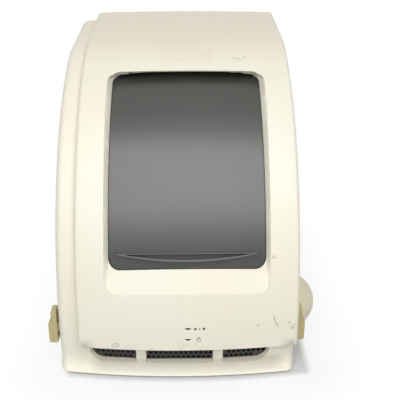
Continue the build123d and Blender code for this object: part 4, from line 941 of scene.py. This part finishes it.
class CYCLER_OT_screws(bpy.types.Operator):
    """The button-head screws of the rear panel, the fan guard, the collar and the lid"""

    bl_idname = "cycler.screws"
    bl_label = "Screws"

    def execute(self, context):
        steel = brushed_metal("screw steel", (0.70, 0.69, 0.66), 0.3)
        panel_low, panel_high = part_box("rear_panel")
        guard_low, guard_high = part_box("fan_guard")
        collar_low, collar_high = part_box("block_collar")
        lid_low, lid_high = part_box("heated_lid")
        backwards, upwards = Vector((0, 1, 0)), Vector((0, 0, 1))
        inset = sizes().screw_inset
        places = []
        for x in (panel_low.x + inset, panel_high.x - inset):
            for share in PANEL_SCREW_SHARES:
                z = panel_low.z + share * (panel_high.z - panel_low.z)
                places.append(("base", Vector((x, panel_high.y, z)), backwards))
        guard_middle = (guard_low + guard_high) / 2
        spread = (-GUARD_SCREW_SPREAD, GUARD_SCREW_SPREAD)
        for x in spread:
            for z in spread:
                place = Vector((guard_middle.x + x, panel_high.y, guard_middle.z + z))
                places.append(("base", place, backwards))
        top = collar_high.z - COLLAR_SCREW_DROP
        for x in (collar_low.x + COLLAR_SCREW_INSET, collar_high.x - COLLAR_SCREW_INSET):
            for y in (collar_low.y + COLLAR_SCREW_INSET, collar_high.y - COLLAR_SCREW_INSET):
                places.append(("base", Vector((x, y, top)), upwards))
        top = lid_low.z + LID_SCREW_TOP
        for x in (COVER_X - LID_SCREW_X, COVER_X, COVER_X + LID_SCREW_X):
            for y in (lid_low.y + LID_SCREW_FRONT, lid_high.y - LID_SCREW_REAR):
                places.append(("lid", Vector((x, y, top)), upwards))
        for number, (body, place, facing) in enumerate(places):
            self.screw(f"screw_{number + 1:02d}", steel, body, place, facing)
        return {"FINISHED"}

    def screw(self, name, steel, body, place, facing):
        """A low domed head with a round socket, standing on `place`."""
        radius = sizes().screw_radius
        high = radius * 0.45
        deselect()
        bpy.ops.mesh.primitive_cylinder_add(vertices=16, radius=radius, depth=high)
        piece = bpy.context.object
        bpy.ops.object.mode_set(mode="EDIT")
        bpy.ops.mesh.select_mode(type="FACE")
        self.pick_top(piece)
        bpy.ops.transform.resize(value=(0.72, 0.72, 1))
        bpy.ops.mesh.inset(thickness=radius * 0.34)
        bpy.ops.mesh.extrude_region_move(TRANSFORM_OT_translate={"value": (0, 0, -high * 0.6)})
        bpy.ops.object.mode_set(mode="OBJECT")
        piece.data.transform(Matrix.Translation((0, 0, high / 2)))
        turn = facing.to_track_quat("Z", "Y").to_matrix().to_4x4()
        piece.matrix_world = Matrix.Translation(place) @ turn
        smooth(piece, SCREW_ANGLE)
        settle(piece, name, steel, body)

    def pick_top(self, piece):
        """Select the faces that look up, in edit mode."""
        bpy.ops.mesh.select_all(action="DESELECT")
        bpy.ops.object.mode_set(mode="OBJECT")
        for face in piece.data.polygons:
            face.select = face.normal.z > 0.9
        bpy.ops.object.mode_set(mode="EDIT")


class CYCLER_OT_stage(bpy.types.Operator):
    """The pale floor, the soft lights and the camera"""

    bl_idname = "cycler.stage"
    bl_label = "Stage"

    def execute(self, context):
        scene = context.scene
        scene.view_settings.view_transform = "Standard"
        self.floor()
        self.world(scene)
        for lamp in LAMPS:
            self.lamp(*lamp)
        camera = bpy.data.objects.new("camera", bpy.data.cameras.new("camera"))
        scene.collection.objects.link(camera)
        camera.data.sensor_width = SENSOR
        camera.data.lens = FOCAL_PIXELS / FRAME_PIXELS * SENSOR
        camera.location = CAMERA_PLACE
        camera.rotation_euler = (math.radians(90 - CAMERA_TILT), 0, math.radians(CAMERA_TURN))
        scene.camera = camera
        return {"FINISHED"}

    def floor(self):
        """A pale floor that looks white but for the machine's soft shadow."""
        deselect()
        bpy.ops.mesh.primitive_plane_add(size=14, location=(0, 2, -FLOOR_DROP))
        floor = bpy.context.object
        bpy.ops.object.transform_apply(location=True)
        floor.name = "floor"
        finish = Finish("pale floor", (0.68, 0.68, 0.69), 0.7)
        soft = finish.noise(3.0, 2.0)
        finish.feed("Roughness", 0.65 + soft * 0.1)
        x, y, _ = finish.axes()
        low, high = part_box("housing")
        across = (abs(x - COVER_X) - (high.x - low.x) / 2).highest(0.0)
        bow = (x - COVER_X) * (x - COVER_X) * (0.5 / BOW_RADIUS)
        along = (low.y + bow - y).highest(y - high.y).highest(0.0)
        away = (across * across + along * along).root()
        wide = (1 - away.rise(*WIDE_SHADOW)) * WIDE_SHARE
        near = wide.highest(1 - away.rise(*CONTACT_SHADOW))
        white = finish.node("ShaderNodeEmission", {}, {"Color": (1, 1, 1, 1), "Strength": 1.0})
        path = finish.node("ShaderNodeLightPath", {}, {})
        rays = [Field(finish, path.socket.node.outputs[key]) for key in SEEN_RAYS]
        seen = rays[0].highest(rays[1]).highest(rays[2])
        both = finish.node("ShaderNodeMixShader", {}, {0: seen * (1 - near)})
        mix = both.socket.node
        finish.tree.links.new(finish.shader.outputs[0], mix.inputs[1])
        finish.tree.links.new(white.socket, mix.inputs[2])
        output = finish.tree.nodes["Material Output"]
        finish.tree.links.new(mix.outputs[0], output.inputs["Surface"])
        floor.data.materials.append(finish.material)

    def world(self, scene):
        """A dim room that lights the machine, seen as plain white."""
        world = bpy.data.worlds.new("room")
        scene.world = world
        world.use_nodes = True
        tree = world.node_tree
        room = tree.nodes["Background"]
        room.inputs["Color"].default_value = (1, 1, 1, 1)
        room.inputs["Strength"].default_value = ROOM_LIGHT
        seen = tree.nodes.new("ShaderNodeBackground")
        seen.inputs["Color"].default_value = (1, 1, 1, 1)
        seen.inputs["Strength"].default_value = 1.0
        rays = tree.nodes.new("ShaderNodeLightPath")
        mix = tree.nodes.new("ShaderNodeMixShader")
        share = rays.outputs[SEEN_RAYS[0]]
        for key in SEEN_RAYS[1:]:
            either = tree.nodes.new("ShaderNodeMath")
            either.operation = "MAXIMUM"
            tree.links.new(share, either.inputs[0])
            tree.links.new(rays.outputs[key], either.inputs[1])
            share = either.outputs[0]
        tree.links.new(share, mix.inputs[0])
        tree.links.new(room.outputs[0], mix.inputs[1])
        tree.links.new(seen.outputs[0], mix.inputs[2])
        tree.links.new(mix.outputs[0], tree.nodes["World Output"].inputs["Surface"])

    def lamp(self, name, elevation, distance, size, power, glossy):
        """A soft lamp in line with the machine, aimed at the middle of its window."""
        light = bpy.data.lights.new(name, "AREA")
        light.shape = "RECTANGLE"
        light.size, light.size_y = size
        light.energy = power
        piece = bpy.data.objects.new(name, light)
        bpy.context.scene.collection.objects.link(piece)
        rise = math.radians(elevation)
        back = Vector((0, -math.cos(rise), math.sin(rise)))
        piece.visible_glossy = glossy
        piece.location = Vector(LAMP_AIM) + back * distance
        piece.rotation_euler = back.to_track_quat("Z", "Y").to_euler()


class CYCLER_PT_sidebar(bpy.types.Panel):
    """Lists the cycler's pieces in the order that they are made"""

    bl_idname = "CYCLER_PT_sidebar"
    bl_label = "Thermal cycler"
    bl_space_type = "VIEW_3D"
    bl_region_type = "UI"
    bl_category = "Cycler"

    def draw(self, context):
        column = self.layout.column()
        for group in (context.scene.cycler_colours, context.scene.cycler_sizes):
            for key in group.__annotations__:
                column.prop(group, key)
        for step in STEPS:
            column.operator(step.bl_idname)


STEPS = (
    CYCLER_OT_stage,
    CYCLER_OT_cover,
    CYCLER_OT_symbols,
    CYCLER_OT_door,
    CYCLER_OT_housing,
    CYCLER_OT_shade_foam,
    CYCLER_OT_catches,
    CYCLER_OT_lamp_cap,
    CYCLER_OT_bay,
    CYCLER_OT_lid,
    CYCLER_OT_cooling,
    CYCLER_OT_optics,
    CYCLER_OT_electronics,
    CYCLER_OT_rear,
    CYCLER_OT_screws,
)
CLASSES = (CyclerColours, CyclerSizes) + STEPS + (CYCLER_PT_sidebar,)


def register():
    for item in CLASSES:
        bpy.utils.register_class(item)
    bpy.types.Scene.cycler_colours = bpy.props.PointerProperty(type=CyclerColours)
    bpy.types.Scene.cycler_sizes = bpy.props.PointerProperty(type=CyclerSizes)


def unregister():
    del bpy.types.Scene.cycler_colours
    del bpy.types.Scene.cycler_sizes
    for item in reversed(CLASSES):
        bpy.utils.unregister_class(item)


def main():
    register()
    for step in STEPS:
        group, name = step.bl_idname.split(".")
        getattr(getattr(bpy.ops, group), name)()
    deselect()


if __name__ == "__main__":
    main()
